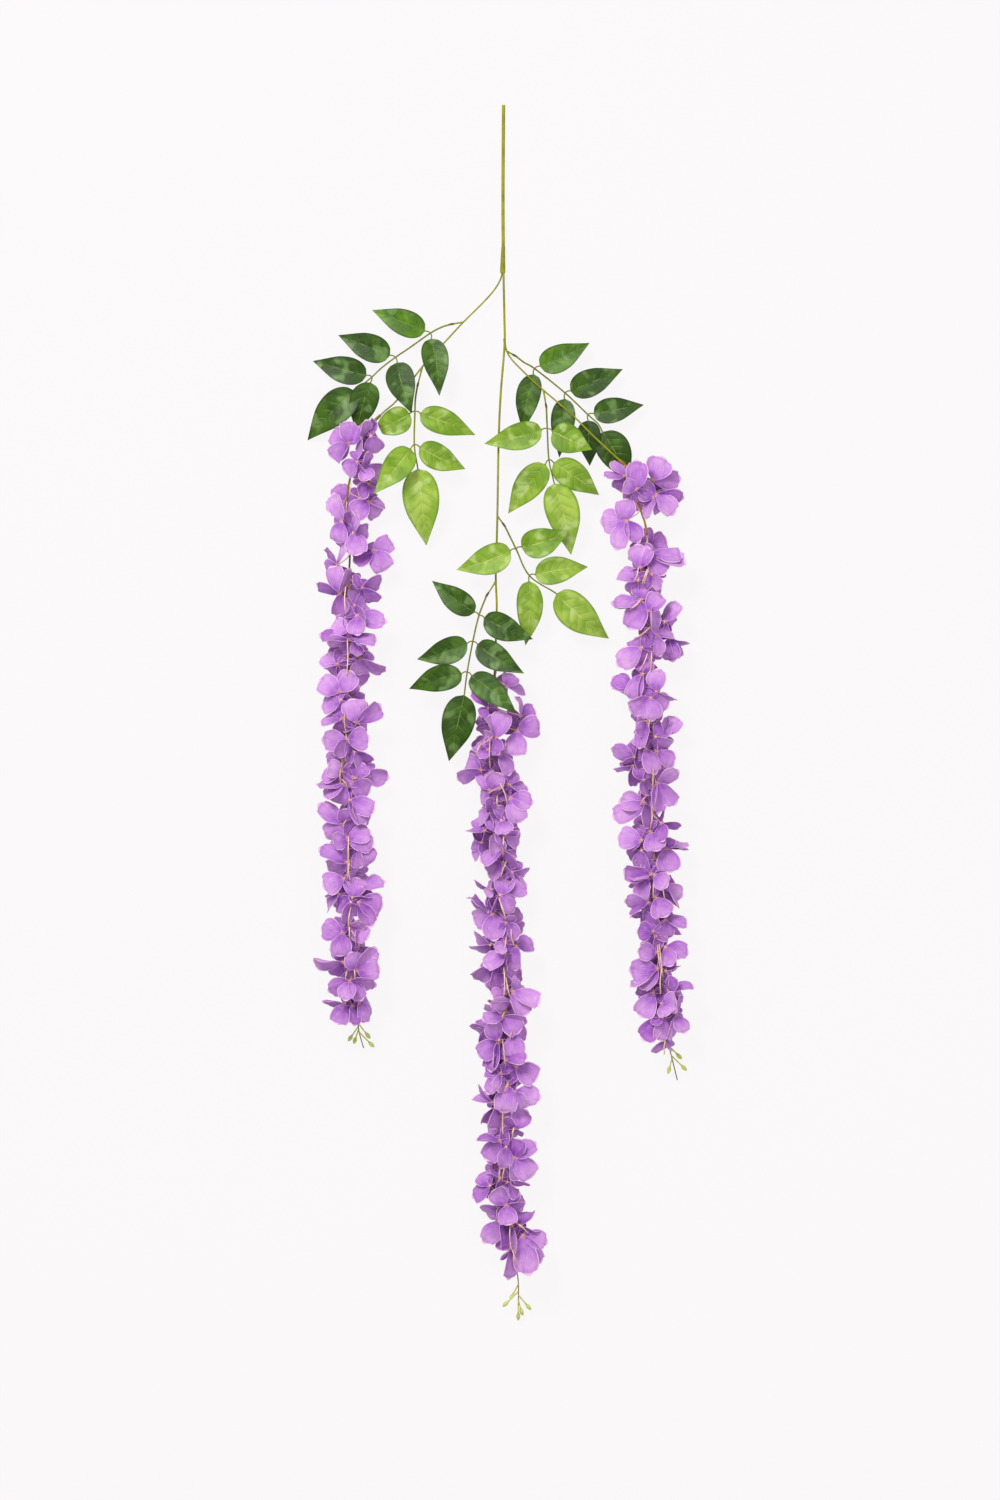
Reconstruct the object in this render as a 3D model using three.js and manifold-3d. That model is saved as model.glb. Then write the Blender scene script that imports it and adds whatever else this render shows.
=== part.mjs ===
// An artificial wisteria spray, lying on a flat surface. Millimetres, +Z up, cut end of the stem towards +Y.
// One thick coated wire ends in a moulded sleeve, from which a left branch and a forked stem go on.
// Six leaf sprays are plugged on pegs of the wires, and three flower strings (racemes) on the wires' ends.
import * as THREE from 'three';
import Module from 'manifold-3d';

const wasm = await Module();
wasm.setup();

// Radii of the coated wires and moulded stalks
const UPPER_STEM_RADIUS = 1.5;
const CENTRE_STEM_RADIUS = 1.0;
const CENTRE_STEM_END_RADIUS = 0.9;
const BRANCH_RADIUS = 0.75;
const SPRAY_STALK_RADIUS = 0.65;
const LEAF_STALK_RADIUS = 0.5;
const RACHIS_TOP_RADIUS = 1.1;
const RACHIS_TIP_RADIUS = 0.5;
const PEDICEL_RADIUS = 0.5;

// Longest straight stretch in a curved wire
const STEM_SPACING = 40;
const BRANCH_SPACING = 22;

// Plug and socket joints, with the same clearance all round
const CLEARANCE = 0.25;
const PEG_RADIUS = 0.4;
const SPRAY_COLLAR_RADIUS = 1.1;
const SPRAY_COLLAR_LENGTH = 6;
const SPRAY_COLLAR_STEP = 0.15;
const SPRAY_STALK_TAPER = 0.25;
const STALK_OVERLAP = 0.8;
const PEG_SHOULDER = 0.05;
const RACEME_COLLAR_RADIUS = 1.5;
const RACEME_COLLAR_LENGTH = 9;
const COLLAR_BOTTOM = 2;
const HOLE_OVERRUN = 1;
const STEM_BORE_SHARE = 0.6;

// Pressed fabric
const LEAF_THICKNESS = 0.7;
const PETAL_THICKNESS = 0.8;
const LEAF_ARCH = 0.3;
const LEAF_TIP_TAPER = 0.35;
const LEAF_TAPER_START = 0.55;
const LEAF_STALK_LENGTH = 5;
const END_LEAF_STALK_LENGTH = 1;

// A flower and its petals. The shares are of a petal's length or width.
const PETAL_LENGTH = 20;
const PETAL_WIDTH = 18;
const SHOULDER_SHARE = 0.78;
const SHOULDER_WIDTH = 0.46;
const SHOULDER_GAP_SHARE = 0.42;
const NOTCH_REACH = 4.5;
const WIDE_GAP = 4.2;
const STEEPEST_RISE = 0.3;
const STEEPEST_FALL = 0.55;
const HIDDEN_REACH = 11;
const HIDDEN_DROP = 9;
const HIDDEN_TURN = 1;
const SHORTEST_REACH_SHARE = 0.85;
const SMALLEST_PETAL_GAP = 0.6;

// How the flowers stand round a raceme's middle stalk
const REACH = 17;
const REACH_PLAY = 8;
const FLOWER_TRIALS = 200;
const FAULT_WEIGHT = 10;
const SMALLEST_SLOPE_GAP = 0.2;
const PRESSED_PLAY = 5;
const PEDICEL_DROP = 6;
const BUD_RADIUS = 1.3;
const BUD_LENGTH = 5;
const BUD_DROP = 14;
const BUD_STALK_RADIUS = 0.35;

// Smallest edge left by a join
const JOIN_DETAIL = 0.1;

const COLOURS = {
  stem: 0x8b8a2d,
  darkLeaf: 0x3f6a2c,
  lightLeaf: 0x86b43c,
  petal: 0xb57acb,
};

// The middle line of the fork sleeve, [x, y, z, radius]
const SLEEVE_RINGS = [[2.95, 420.5, 6.1, 2.15], [2.6, 413, 6.6, 2.75], [2.4, 396.5, 6.8, 2.75]];

// Routes of the wires, [x, y, z]. The first and last stretches are straight, in the sleeve and the collars.
const UPPER_STEM_ROUTE = [[3.2, 548.6, 1.4], [2.7, 466, 4.4], [3, 411.5, 6.4]];
const LEFT_BRANCH_ROUTE = [
  [1.5, 406, 5.9], [1.5, 394, 5.9], [-4.6, 382, 7.2], [-16, 369, 8.7], [-33, 352, 10.8], [-50, 333.5, 13],
  [-70, 311.5, 15.4], [-92, 282, 18], [-103, 272, 19.3], [-112.5, 263, 20],
];
const CENTRE_STEM_ROUTE = [
  [3.2, 406, 7.6], [3.2, 394, 7.6], [4, 353, 8.9], [4.1, 331, 9.7], [0.7, 288, 11.3], [-1.2, 246, 12.8],
  [-2.3, 181.5, 15.2], [-2.9, 155, 16.2], [-3.8, 121, 17.4], [-2.9, 95, 18.3], [-4, 56, 19.6], [-4.2, 42, 20],
];
const RIGHT_BRANCH_ROUTE = [
  [4, 337, 9.5], [5.2, 328.5, 10], [10.4, 318.5, 11], [26.5, 302, 13], [39.2, 290.3, 14.5],
  [64.5, 268.5, 17.2], [81.5, 251.5, 18.8], [93, 240.5, 19.6], [112, 223, 20],
];

// Leaf sprays. route: from the peg's root on the wire, through the collar's middle, to the last leaflet.
// A leaflet row is [stalk point it grows from, tip x, tip y, tip z, width, edge lift].
const SPRAYS = [
  {
    name: 'left_dark_spray',
    colour: COLOURS.darkLeaf,
    route: [
      [-33, 352, 10.8], [-43.5, 350, 13], [-53, 347, 14.5], [-63, 341.5, 16], [-82, 328, 18],
      [-94.5, 319.5, 18.5], [-107, 310, 18], [-115.5, 302, 17], [-130, 290.5, 14],
    ],
    leaflets: [
      [3, -115, 362.5, 13, 24, 2], [3, -54.5, 285, 24, 24, 2],
      [5, -145.5, 340, 12, 25, 2], [5, -79.5, 269, 27, 26, 2],
      [7, -168.5, 317, 8, 25, 2], [7, -129, 252.5, 5, 26, 1],
      [8, -173.5, 246, 3, 30, 2],
    ],
  },
  {
    name: 'left_light_spray',
    colour: COLOURS.lightLeaf,
    route: [
      [-70, 311.5, 15.4], [-74, 295, 19], [-76, 283, 22], [-76.5, 270.5, 25], [-77, 240.5, 28],
      [-74, 220, 26],
    ],
    leaflets: [
      [3, -22.5, 250, 15, 24, 2], [3, -110, 259.5, 31, 25, 2],
      [4, -113, 196, 41, 26, 2], [4, -31.5, 219.5, 15, 24, 2],
      [5, -66.5, 151, 8, 33, 2],
    ],
  },
  {
    name: 'right_dark_spray',
    colour: COLOURS.darkLeaf,
    route: [
      [10.4, 318.5, 11], [14.5, 321, 10.5], [22, 315.5, 9.5], [31.5, 310, 9], [59, 288, 8.5],
      [79.5, 268.5, 8.5], [88.5, 260.5, 8], [92, 254, 7.5],
    ],
    leaflets: [
      [3, 80.5, 333, 12, 25, 2], [3, 21, 253, 4, 22, 1],
      [4, 110.5, 309.5, 10, 25, 2], [4, 53.5, 230.5, 3, 22, 1],
      [5, 129.5, 277.5, 9, 23, 2], [5, 81, 223, 3, 22, 1],
      [7, 116, 207.5, 2, 30, 1],
    ],
  },
  {
    name: 'right_light_spray',
    colour: COLOURS.lightLeaf,
    route: [
      [39.2, 290.3, 14.5], [41.5, 276, 19], [42.5, 255, 25], [44, 227, 28], [48.5, 207, 27],
    ],
    leaflets: [
      [2, -14, 242, 20, 25, 2], [2, 82.5, 236.5, 24, 27, 2],
      [3, 7.5, 179.5, 12, 26, 2], [3, 89, 196, 15, 26, 2],
      [4, 64, 142.5, 10, 31, 2],
    ],
  },
  {
    name: 'centre_light_spray',
    colour: COLOURS.lightLeaf,
    route: [
      [-2.3, 177, 15.3], [3.5, 169, 18], [14.5, 147, 22], [26.5, 123, 24], [50, 107.5, 22],
    ],
    leaflets: [
      [2, -39, 128.5, 18, 27, 2], [2, 62, 162.5, 22, 27, 2],
      [3, 79, 131, 17, 25, 2], [3, 23, 61, 7, 24, 1],
      [4, 98, 67, 7, 31, 2],
    ],
  },
  {
    name: 'centre_dark_spray',
    colour: COLOURS.darkLeaf,
    route: [
      [-3.8, 118, 17.5], [-11.5, 106, 20], [-19, 87, 24], [-24.5, 63.5, 28], [-29.5, 36, 32], [-32, 16.5, 31],
    ],
    leaflets: [
      [2, -61, 118.5, 16, 22, 2], [2, 29.5, 66, 23, 24, 2],
      [3, -74.5, 48, 16, 24, 2], [3, 21.5, 35, 40, 24, 2],
      [4, -81.5, 21.5, 17, 24, 2], [4, 14.5, -0.5, 46, 24, 2],
      [5, -46, -43.5, 12, 30, 2],
    ],
  },
];

// Flowers. A row is the middle of a flower, x and y, and then each petal that shows from above,
// [tip x, tip y, width]. A petal turned on its edge shows narrow.
const LEFT_FLOWERS = [
  [-135.5, 241.5, [-152, 251.5, 18], [-138.5, 262.5, 16], [-153, 229, 17]],
  [-124, 247, [-113.5, 262, 9]],
  [-116, 248, [-111.5, 233.5, 19]],
  [-122.5, 220, [-106, 215.5, 17], [-117, 206.5, 15]],
  [-128, 224.5, [-140, 216, 17]],
  [-118, 205.5, [-128, 195, 14]],
  [-118, 189.5, [-132.5, 178, 20], [-105.5, 188.5, 13], [-110.5, 177, 18]],
  [-142, 171.5, [-148.5, 197.5, 14], [-146.5, 151.5, 17]],
  [-131.5, 161.5, [-127, 140.5, 21]],
  [-113.5, 145.5, [-96.5, 154.5, 18], [-102, 127, 22], [-132.5, 135.5, 16]],
  [-146, 132, [-156.5, 146, 8]],
  [-144, 106.5, [-151, 132, 15], [-146.5, 87, 14]],
  [-124, 112, [-106, 118.5, 14], [-110.5, 99.5, 14]],
  [-130.5, 96, [-130.5, 110, 12]],
  [-136, 72.5, [-152, 79.5, 18]],
  [-128.5, 87, [-127, 68, 17], [-101.5, 81.5, 18]],
  [-135, 65, [-109, 65, 11]],
  [-132, 62, [-129.5, 50, 8]],
  [-146, 43, [-160, 52.5, 17]],
  [-125, 48, [-126, 34, 18]],
  [-144, 18.5, [-163, 29, 21], [-131.5, 37, 20]],
  [-143, 11, [-160, 4, 17]],
  [-128.5, -9.5, [-132.5, 13, 23], [-107, 7.5, 14]],
  [-142, -6, [-161, -8.5, 11]],
  [-137, -25, [-160, -25.5, 20], [-149.5, -38, 13], [-117.5, -23, 22]],
  [-130.5, -35.5, [-125, -50, 13], [-117, -45, 14]],
  [-142, -53, [-156, -48, 17], [-161, -58, 14]],
  [-130.5, -59, [-141, -53, 11]],
  [-122, -57, [-100.5, -58, 17]],
  [-134, -64.5, [-117.5, -71, 20]],
  [-140, -64, [-149, -81.5, 22], [-159, -76, 13]],
  [-135, -79, [-112, -88, 18], [-121, -101, 13]],
  [-140.5, -99.5, [-163.5, -82, 17], [-156, -112, 20], [-138.5, -85, 14]],
  [-137, -113, [-115, -107.5, 16], [-112.5, -120, 18], [-150, -117, 17]],
  [-128.5, -121, [-112.5, -134.5, 18]],
  [-137.5, -134.5, [-164.5, -124, 15], [-155.5, -140, 16]],
  [-140, -149, [-159.5, -156, 21]],
  [-132.5, -166.5, [-129, -148.5, 21]],
  [-124, -157, [-103, -153.5, 13]],
  [-127, -170.5, [-105, -175, 23], [-114, -192, 16]],
  [-134, -170.5, [-148, -174, 15]],
  [-145, -163, [-154, -178, 8]],
  [-135, -193, [-117.5, -203, 18]],
  [-141.5, -198, [-161, -193, 21], [-143.5, -220, 20]],
  [-127, -210, [-130.5, -196, 8]],
  [-128.5, -232, [-134.5, -214.5, 17], [-112, -209, 16], [-107, -229, 23]],
  [-141.5, -224.5, [-153, -236, 18]],
  [-135, -241, [-154, -251, 18], [-138, -259.5, 17], [-124, -259, 13]],
  [-139.5, -261.5, [-146.5, -280.5, 18]],
  [-133, -264, [-132, -282, 9]],
  [-127, -260.5, [-117.5, -277.5, 15]],
];

const RIGHT_FLOWERS = [
  [111.5, 212, [104, 227, 14]],
  [122, 200, [123.5, 227, 20], [110, 205, 15]],
  [137.5, 209, [147, 230, 24], [163, 211, 17]],
  [140.5, 196.5, [124, 201, 20], [165.5, 191, 13], [157, 178, 17], [145, 180, 12]],
  [138, 194, [132.5, 172.5, 10]],
  [113.5, 172.5, [111.5, 193, 20], [90, 171.5, 23], [105, 145, 17], [125, 152.5, 17]],
  [126, 130, [124, 151.5, 20], [134, 149, 13]],
  [136, 141, [147, 123, 20], [164.5, 142.5, 13], [167.5, 134, 13]],
  [137, 124, [146, 112, 10]],
  [124, 118.5, [106.5, 125, 15]],
  [127, 101, [128, 118, 20], [100, 96, 14], [117, 73.5, 22]],
  [133, 90.5, [144, 106, 18]],
  [140.5, 69, [155, 70.5, 11]],
  [148.5, 81.5, [160, 100, 14]],
  [152, 67, [156, 45.5, 18]],
  [127, 58, [105, 42, 20]],
  [118, 20, [101.5, 32, 18]],
  [128, 34.5, [117, 10, 15]],
  [140.5, 18.5, [142, 40, 17]],
  [135, 13, [114.5, 2, 16], [151.5, 5, 20], [136, -8.5, 20]],
  [148.5, -20, [160, -4, 18]],
  [131.5, -8.5, [126, -34, 13]],
  [139.5, -22, [151, -32, 15]],
  [120.5, -40, [99.5, -33, 15]],
  [130.5, -32, [139.5, -56, 17]],
  [140.5, -35.5, [155, -49, 15]],
  [119.5, -48, [122.5, -65, 15]],
  [128.5, -61, [127, -77, 9]],
  [140.5, -63.5, [161, -53, 13], [159.5, -82, 16], [141.5, -91.5, 15]],
  [130.5, -81.5, [107, -80, 18], [100, -95, 19]],
  [127, -115, [105.5, -111, 21]],
  [135, -107.5, [141, -125, 20]],
  [145, -99.5, [146.5, -116.5, 13]],
  [150.5, -122, [152, -144.5, 22]],
  [127, -124, [129, -142, 14]],
  [135, -145.5, [110, -141, 16]],
  [133, -149, [127, -169, 14]],
  [138.5, -146, [151, -156, 17]],
  [146.5, -158, [163.5, -166, 19]],
  [139.5, -166, [149, -184, 21]],
  [133, -170.5, [111.5, -170, 13]],
  [128.5, -178, [141, -193.5, 16]],
  [137, -196.5, [122.5, -196, 18]],
  [148.5, -186, [169, -187.5, 12], [146, -202, 20], [158.5, -200, 14]],
  [139.5, -201, [145, -211, 14]],
  [140.5, -215.5, [123, -214, 17], [133, -230, 13]],
  [148.5, -211, [170, -216, 17], [153, -228, 16]],
  [141.5, -230, [115.5, -233, 23], [126, -249, 17]],
  [149, -232, [149, -246, 10]],
  [151, -250, [158.5, -237.5, 13], [165, -254, 12]],
  [137.5, -251.5, [126, -274, 20]],
  [145, -261.5, [159, -259.5, 20], [151, -272, 16], [143, -251, 14]],
  [145, -274, [127, -294, 19], [144, -295.5, 16]],
  [158.5, -272, [166, -288.5, 15]],
  [147.5, -294.5, [140.5, -306, 12]],
];

const CENTRE_FLOWERS = [
  [6.5, 23, [11.5, 34.5, 16], [22, 22, 12]],
  [-11, 4, [-18, -3, 11]],
  [19, -3, [13.5, 14.5, 6]],
  [15.5, -16.5, [37, -10.5, 21], [13.5, -40, 21]],
  [-3.5, -23, [3.5, 2, 19]],
  [0, -38, [8, -57.5, 13]],
  [-11, -34, [-18, -41.5, 9]],
  [-17, -52, [-30, -42.5, 17]],
  [-9, -70, [-14.5, -52, 18], [0, -53.5, 18], [-18, -77.5, 13]],
  [8, -65, [26, -67.5, 11]],
  [9, -77, [30, -81, 18], [19, -100, 19]],
  [-10, -90.5, [-19.5, -97, 13]],
  [1, -97, [0, -84, 14], [5.5, -109.5, 17]],
  [-13.5, -106.5, [-28, -106.5, 9]],
  [-17, -117.5, [-24, -130, 12]],
  [-3.5, -107.5, [-4.5, -129.5, 15]],
  [4.5, -110, [15.5, -119, 14]],
  [2.5, -124, [-18.5, -134, 12], [13, -140, 13]],
  [2.5, -134.5, [-10, -148, 16]],
  [11, -143.5, [24, -145.5, 12]],
  [0, -164, [5, -149, 19], [13.5, -178.5, 16]],
  [6, -160, [25, -155, 19]],
  [-8, -159, [-13, -165, 10]],
  [-11, -179.5, [-25, -167, 8]],
  [-6, -180.5, [-23.5, -188, 19], [-5, -205.5, 21]],
  [5.5, -188.5, [16, -203, 12]],
  [-9, -209, [-23, -199, 8]],
  [4.5, -206.5, [-4, -215.5, 13]],
  [14.5, -210, [29.5, -206, 17], [16, -233, 13]],
  [4.5, -216.5, [-14.5, -229, 17]],
  [-7, -229, [-23.5, -238, 15]],
  [-2, -227, [-5, -248, 12]],
  [4, -234, [10, -245.5, 9]],
  [11, -250.5, [18, -241, 12], [27, -250, 12], [36, -262, 15], [22, -274, 16]],
  [3.5, -252.5, [-8, -251.5, 11]],
  [9, -260, [-9.5, -262, 15]],
  [2.5, -273, [18.5, -287, 20]],
  [-1, -294, [-10, -277.5, 17]],
  [-12, -284, [-24, -286, 13]],
  [11, -288.5, [14.5, -309, 20]],
  [-2, -295.5, [-20, -309, 19]],
  [5.5, -312, [25, -308.5, 10]],
  [14.5, -318, [34, -329, 22], [3, -330, 19]],
  [1, -324.5, [-11, -343, 13], [-2, -340.5, 12]],
  [7, -334.5, [4, -360.5, 22]],
  [13, -341, [37, -346, 19], [25, -354, 13]],
  [-7, -350, [-22.5, -346, 9]],
  [-4, -354, [-13, -370.5, 13]],
  [12.5, -374, [23, -358, 19]],
  [0, -384.5, [-13, -402, 19]],
  [5.5, -390, [1, -410, 15]],
  [13.5, -400, [17, -382, 16], [33, -387, 16], [30, -418, 22]],
  [0, -418, [-5.5, -410, 7]],
  [7, -421.5, [19.5, -432, 9]],
  [5.5, -442, [-6.5, -427, 18], [11.5, -425, 20], [8, -460.5, 18], [20, -446, 12]],
  [-9, -425, [-24.5, -437, 14]],
  [-1, -445, [-15, -448.5, 16]],
  [0, -457, [-14, -477, 19]],
  [18, -460.5, [27, -448.5, 12]],
  [20.5, -469.5, [43, -476, 17], [25, -506, 23], [37, -494.5, 16]],
  [11, -461, [12.5, -489, 8]],
  [10, -482, [5.5, -510, 12]],
];

// Racemes. rachis: the moulded stalk from the branch end to the last bud, [x, y, z].
// pressed: y of the flowers that lie flat beneath. buds: the tip of each bud.
const RACEMES = [
  {
    name: 'left_raceme',
    plug: LEFT_BRANCH_ROUTE,
    plugRadius: BRANCH_RADIUS,
    rachis: [
      [-112.5, 263, 20], [-124, 241, 20], [-134, 214, 20], [-137.5, 194, 20], [-137.5, 173, 20],
      [-135, 146, 20], [-137, 104, 20], [-137, 56, 20], [-135, 17, 20], [-138, -8, 20], [-142, -39, 20],
      [-143, -57, 20], [-135, -79, 20], [-136, -131, 20], [-134, -173, 20], [-134, -213, 20],
      [-129.5, -245, 18], [-128, -277, 14], [-127, -288, 11], [-123, -302.5, 7],
    ],
    flowers: LEFT_FLOWERS,
    pressed: [190, 0, -200],
    buds: [[-133.5, -293, 6], [-131, -299, 4], [-117.5, -294, 9], [-116.5, -301, 5]],
  },
  {
    name: 'right_raceme',
    plug: RIGHT_BRANCH_ROUTE,
    plugRadius: BRANCH_RADIUS,
    rachis: [
      [112, 223, 20], [113.5, 214, 20], [118, 204, 20], [127, 181, 20], [132, 162, 20], [131.5, 131, 20],
      [129.5, 101, 20], [134, 75, 20], [136, 37, 20], [131.5, 14, 20], [132.5, -25, 20], [137.5, -54, 20],
      [137, -89, 20], [134, -105, 20], [138.5, -126, 20], [138.5, -151, 20], [142, -211, 20], [145, -250, 20],
      [147, -273, 18], [149.5, -296, 14], [153, -304, 11], [160, -331.5, 5],
    ],
    flowers: RIGHT_FLOWERS,
    pressed: [150, -50, -230],
    buds: [[150, -320, 7], [163, -311, 9], [166.5, -321, 6]],
  },
  {
    name: 'centre_raceme',
    plug: CENTRE_STEM_ROUTE,
    plugRadius: CENTRE_STEM_END_RADIUS,
    rachis: [
      [-4.2, 41.5, 20], [-8, 5, 20], [-9.5, -29, 20], [-9, -48, 20], [0.5, -65, 20], [1.5, -81, 20],
      [-4, -106, 20], [3.5, -123, 20], [4.5, -137, 20], [-5, -150, 20], [2.5, -180, 20], [5.5, -191, 20],
      [4.5, -241, 20], [3.5, -273, 20], [2.5, -303, 20], [7.5, -335, 20], [2.5, -365, 20], [1, -392, 20],
      [0, -417, 20], [11, -460, 20], [14, -496, 16], [16.5, -513.5, 12], [16.5, -548, 4],
    ],
    flowers: CENTRE_FLOWERS,
    pressed: [-60, -240, -420],
    buds: [[4, -533, 6], [9, -528, 8], [27, -535, 6], [21, -539, 5]],
  },
];

// Repeatable draws between 0 and 1
let seed = 31337;

function draw() {
  seed = (seed * 16807) % 2147483647;
  return seed / 2147483647;
}

function between(low, high) {
  return low + (high - low) * draw();
}

function vector(row) {
  return new THREE.Vector3(row[0], row[1], row[2]);
}

// A closed triangle mesh as a solid
function solid(points, triangles) {
  const vertProperties = new Float32Array(points.flatMap((point) => [point.x, point.y, point.z]));
  const triVerts = new Uint32Array(triangles.flat());
  return new wasm.Manifold(new wasm.Mesh({ numProp: 3, vertProperties, triVerts }));
}

function join(solids) {
  return wasm.Manifold.union(solids).simplify(JOIN_DETAIL);
}

// A round rod through the points, with its radius given at each point
function rod(points, radii, sides) {
  const rings = [];
  const triangles = [];
  let side = new THREE.Vector3(0, 0, 1);
  points.forEach((point, i) => {
    const before = points[Math.max(i - 1, 0)];
    const after = points[Math.min(i + 1, points.length - 1)];
    const along = after.clone().sub(before).normalize();
    if (i === 0 && Math.abs(along.z) > 0.9) side = new THREE.Vector3(1, 0, 0);
    side = side.clone().addScaledVector(along, -side.dot(along)).normalize();
    const across = along.clone().cross(side);
    for (let k = 0; k < sides; k += 1) {
      const angle = (2 * Math.PI * (k + 0.5)) / sides;
      const corner = point.clone();
      corner.addScaledVector(side, radii[i] * Math.cos(angle));
      corner.addScaledVector(across, radii[i] * Math.sin(angle));
      rings.push(corner);
    }
  });
  for (let i = 0; i < points.length - 1; i += 1) {
    for (let k = 0; k < sides; k += 1) {
      const a = i * sides + k;
      const b = i * sides + ((k + 1) % sides);
      triangles.push([a, b, b + sides], [a, b + sides, a + sides]);
    }
  }
  const last = (points.length - 1) * sides;
  for (let k = 1; k < sides - 1; k += 1) {
    triangles.push([0, k + 1, k], [last, last + k, last + k + 1]);
  }
  return solid(rings, triangles);
}

// A wire: the first and last stretches of its route stay straight, the rest is a smooth curve
function wire(route, startRadius, endRadius, sides, spacing) {
  const knots = route.slice(1, -1).map(vector);
  const curve = new THREE.CatmullRomCurve3(knots);
  const points = [vector(route[0])];
  for (let i = 0; i < knots.length - 1; i += 1) {
    const steps = Math.ceil(knots[i].distanceTo(knots[i + 1]) / spacing);
    for (let k = 0; k < steps; k += 1) points.push(curve.getPoint((i + k / steps) / (knots.length - 1)));
  }
  points.push(knots[knots.length - 1], vector(route[route.length - 1]));
  const radii = points.map((point, i) => startRadius + ((endRadius - startRadius) * i) / (points.length - 1));
  return rod(points, radii, sides);
}

// A sheet of fabric: the middle surface gets half the thickness on each side
function faces(points, triangles, thickness) {
  const normals = points.map(() => new THREE.Vector3());
  for (const [a, b, c] of triangles) {
    const toB = points[b].clone().sub(points[a]);
    const toC = points[c].clone().sub(points[a]);
    const normal = toB.cross(toC).normalize();
    for (const corner of [a, b, c]) normals[corner].add(normal);
  }
  for (const normal of normals) normal.normalize();
  const upper = points.map((point, i) => point.clone().addScaledVector(normals[i], thickness / 2));
  const lower = points.map((point, i) => point.clone().addScaledVector(normals[i], -thickness / 2));
  return [upper, lower];
}

// The rim that closes the edge of a sheet, from its upper to its lower face
function edgeBand(rim, lowerStart) {
  const band = [];
  rim.forEach((a, i) => {
    const b = rim[(i + 1) % rim.length];
    band.push([a, a + lowerStart, b + lowerStart], [a, b + lowerStart, b]);
  });
  return band;
}

// A point of a sheet that would go below the surface is bent outwards along it
function settle(point, facing, thickness) {
  const sunk = thickness / 2 - point.z;
  if (sunk <= 0) return;
  point.x += sunk * facing.x;
  point.y += sunk * facing.y;
  point.z = thickness / 2;
}

// A leaflet with its stalk: round at its base, widest before the middle, pointed, arched, its edges lifted.
// The stalk is a narrow strip of the same sheet, from the joint to the blade.
const LEAF_STATIONS = [0.12, 0.38, 0.72];

function leaflet(joint, base, tip, width, lift) {
  const along = tip.clone().sub(base);
  const length = along.length();
  along.normalize();
  const across = new THREE.Vector3(0, 0, 1).cross(along).normalize();
  const up = along.clone().cross(across);
  const rib = (u) => {
    const arch = LEAF_ARCH * length * u * (1 - u);
    return base.clone().addScaledVector(along, u * length).addScaledVector(up, arch);
  };
  const strip = (middle) => [1, -1].map((k) => middle.clone().addScaledVector(across, k * LEAF_STALK_RADIUS));
  const points = [...strip(joint), ...strip(base)];
  for (const u of LEAF_STATIONS) {
    const pastMiddle = Math.max(0, (u - LEAF_TAPER_START) / (1 - LEAF_TAPER_START));
    const taper = 1 - LEAF_TIP_TAPER * pastMiddle ** 1.3;
    const share = Math.sin(Math.PI * u ** 0.62) ** 0.8 * taper;
    const middle = rib(u).addScaledVector(up, lift * share);
    points.push(middle.clone().addScaledVector(across, (width / 2) * share), rib(u));
    points.push(middle.clone().addScaledVector(across, (-width / 2) * share));
  }
  points.push(rib(1));
  points.forEach((point) => settle(point, along, LEAF_THICKNESS));
  const end = points.length - 1;
  const triangles = [[0, 1, 3], [0, 3, 2], [2, 5, 4], [2, 3, 5], [3, 6, 5]];
  for (let a = 4; a < end - 3; a += 3) {
    const b = a + 3;
    triangles.push([a + 1, b + 1, b], [a + 1, b, a], [a + 1, b + 2, b + 1], [a + 1, a + 2, b + 2]);
  }
  triangles.push([end - 2, end, end - 3], [end - 2, end - 1, end]);
  const rim = [1, 3];
  for (let a = 4; a < end; a += 3) rim.push(a + 2);
  rim.push(end);
  for (let a = end - 3; a > 3; a -= 3) rim.push(a);
  rim.push(2, 0);
  const [upper, lower] = faces(points, triangles, LEAF_THICKNESS);
  const count = points.length;
  const underside = triangles.map(([a, b, c]) => [a + count, c + count, b + count]);
  return solid([...upper, ...lower], [...triangles, ...underside, ...edgeBand(rim, count)]);
}

// The first stretch of a spray's route is the peg, which stays on the wire
function sprayPeg(spray) {
  const [root, middle] = spray.route.map(vector);
  const along = middle.clone().sub(root).normalize();
  const shoulder = middle.clone().addScaledVector(along, -SPRAY_COLLAR_LENGTH / 2 - CLEARANCE);
  const neck = shoulder.clone().addScaledVector(along, PEG_SHOULDER);
  const end = middle.clone().addScaledVector(along, SPRAY_COLLAR_LENGTH / 4);
  const radii = [SPRAY_STALK_RADIUS, SPRAY_STALK_RADIUS, PEG_RADIUS, PEG_RADIUS];
  return rod([root, shoulder, neck, end], radii, 5);
}

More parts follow.
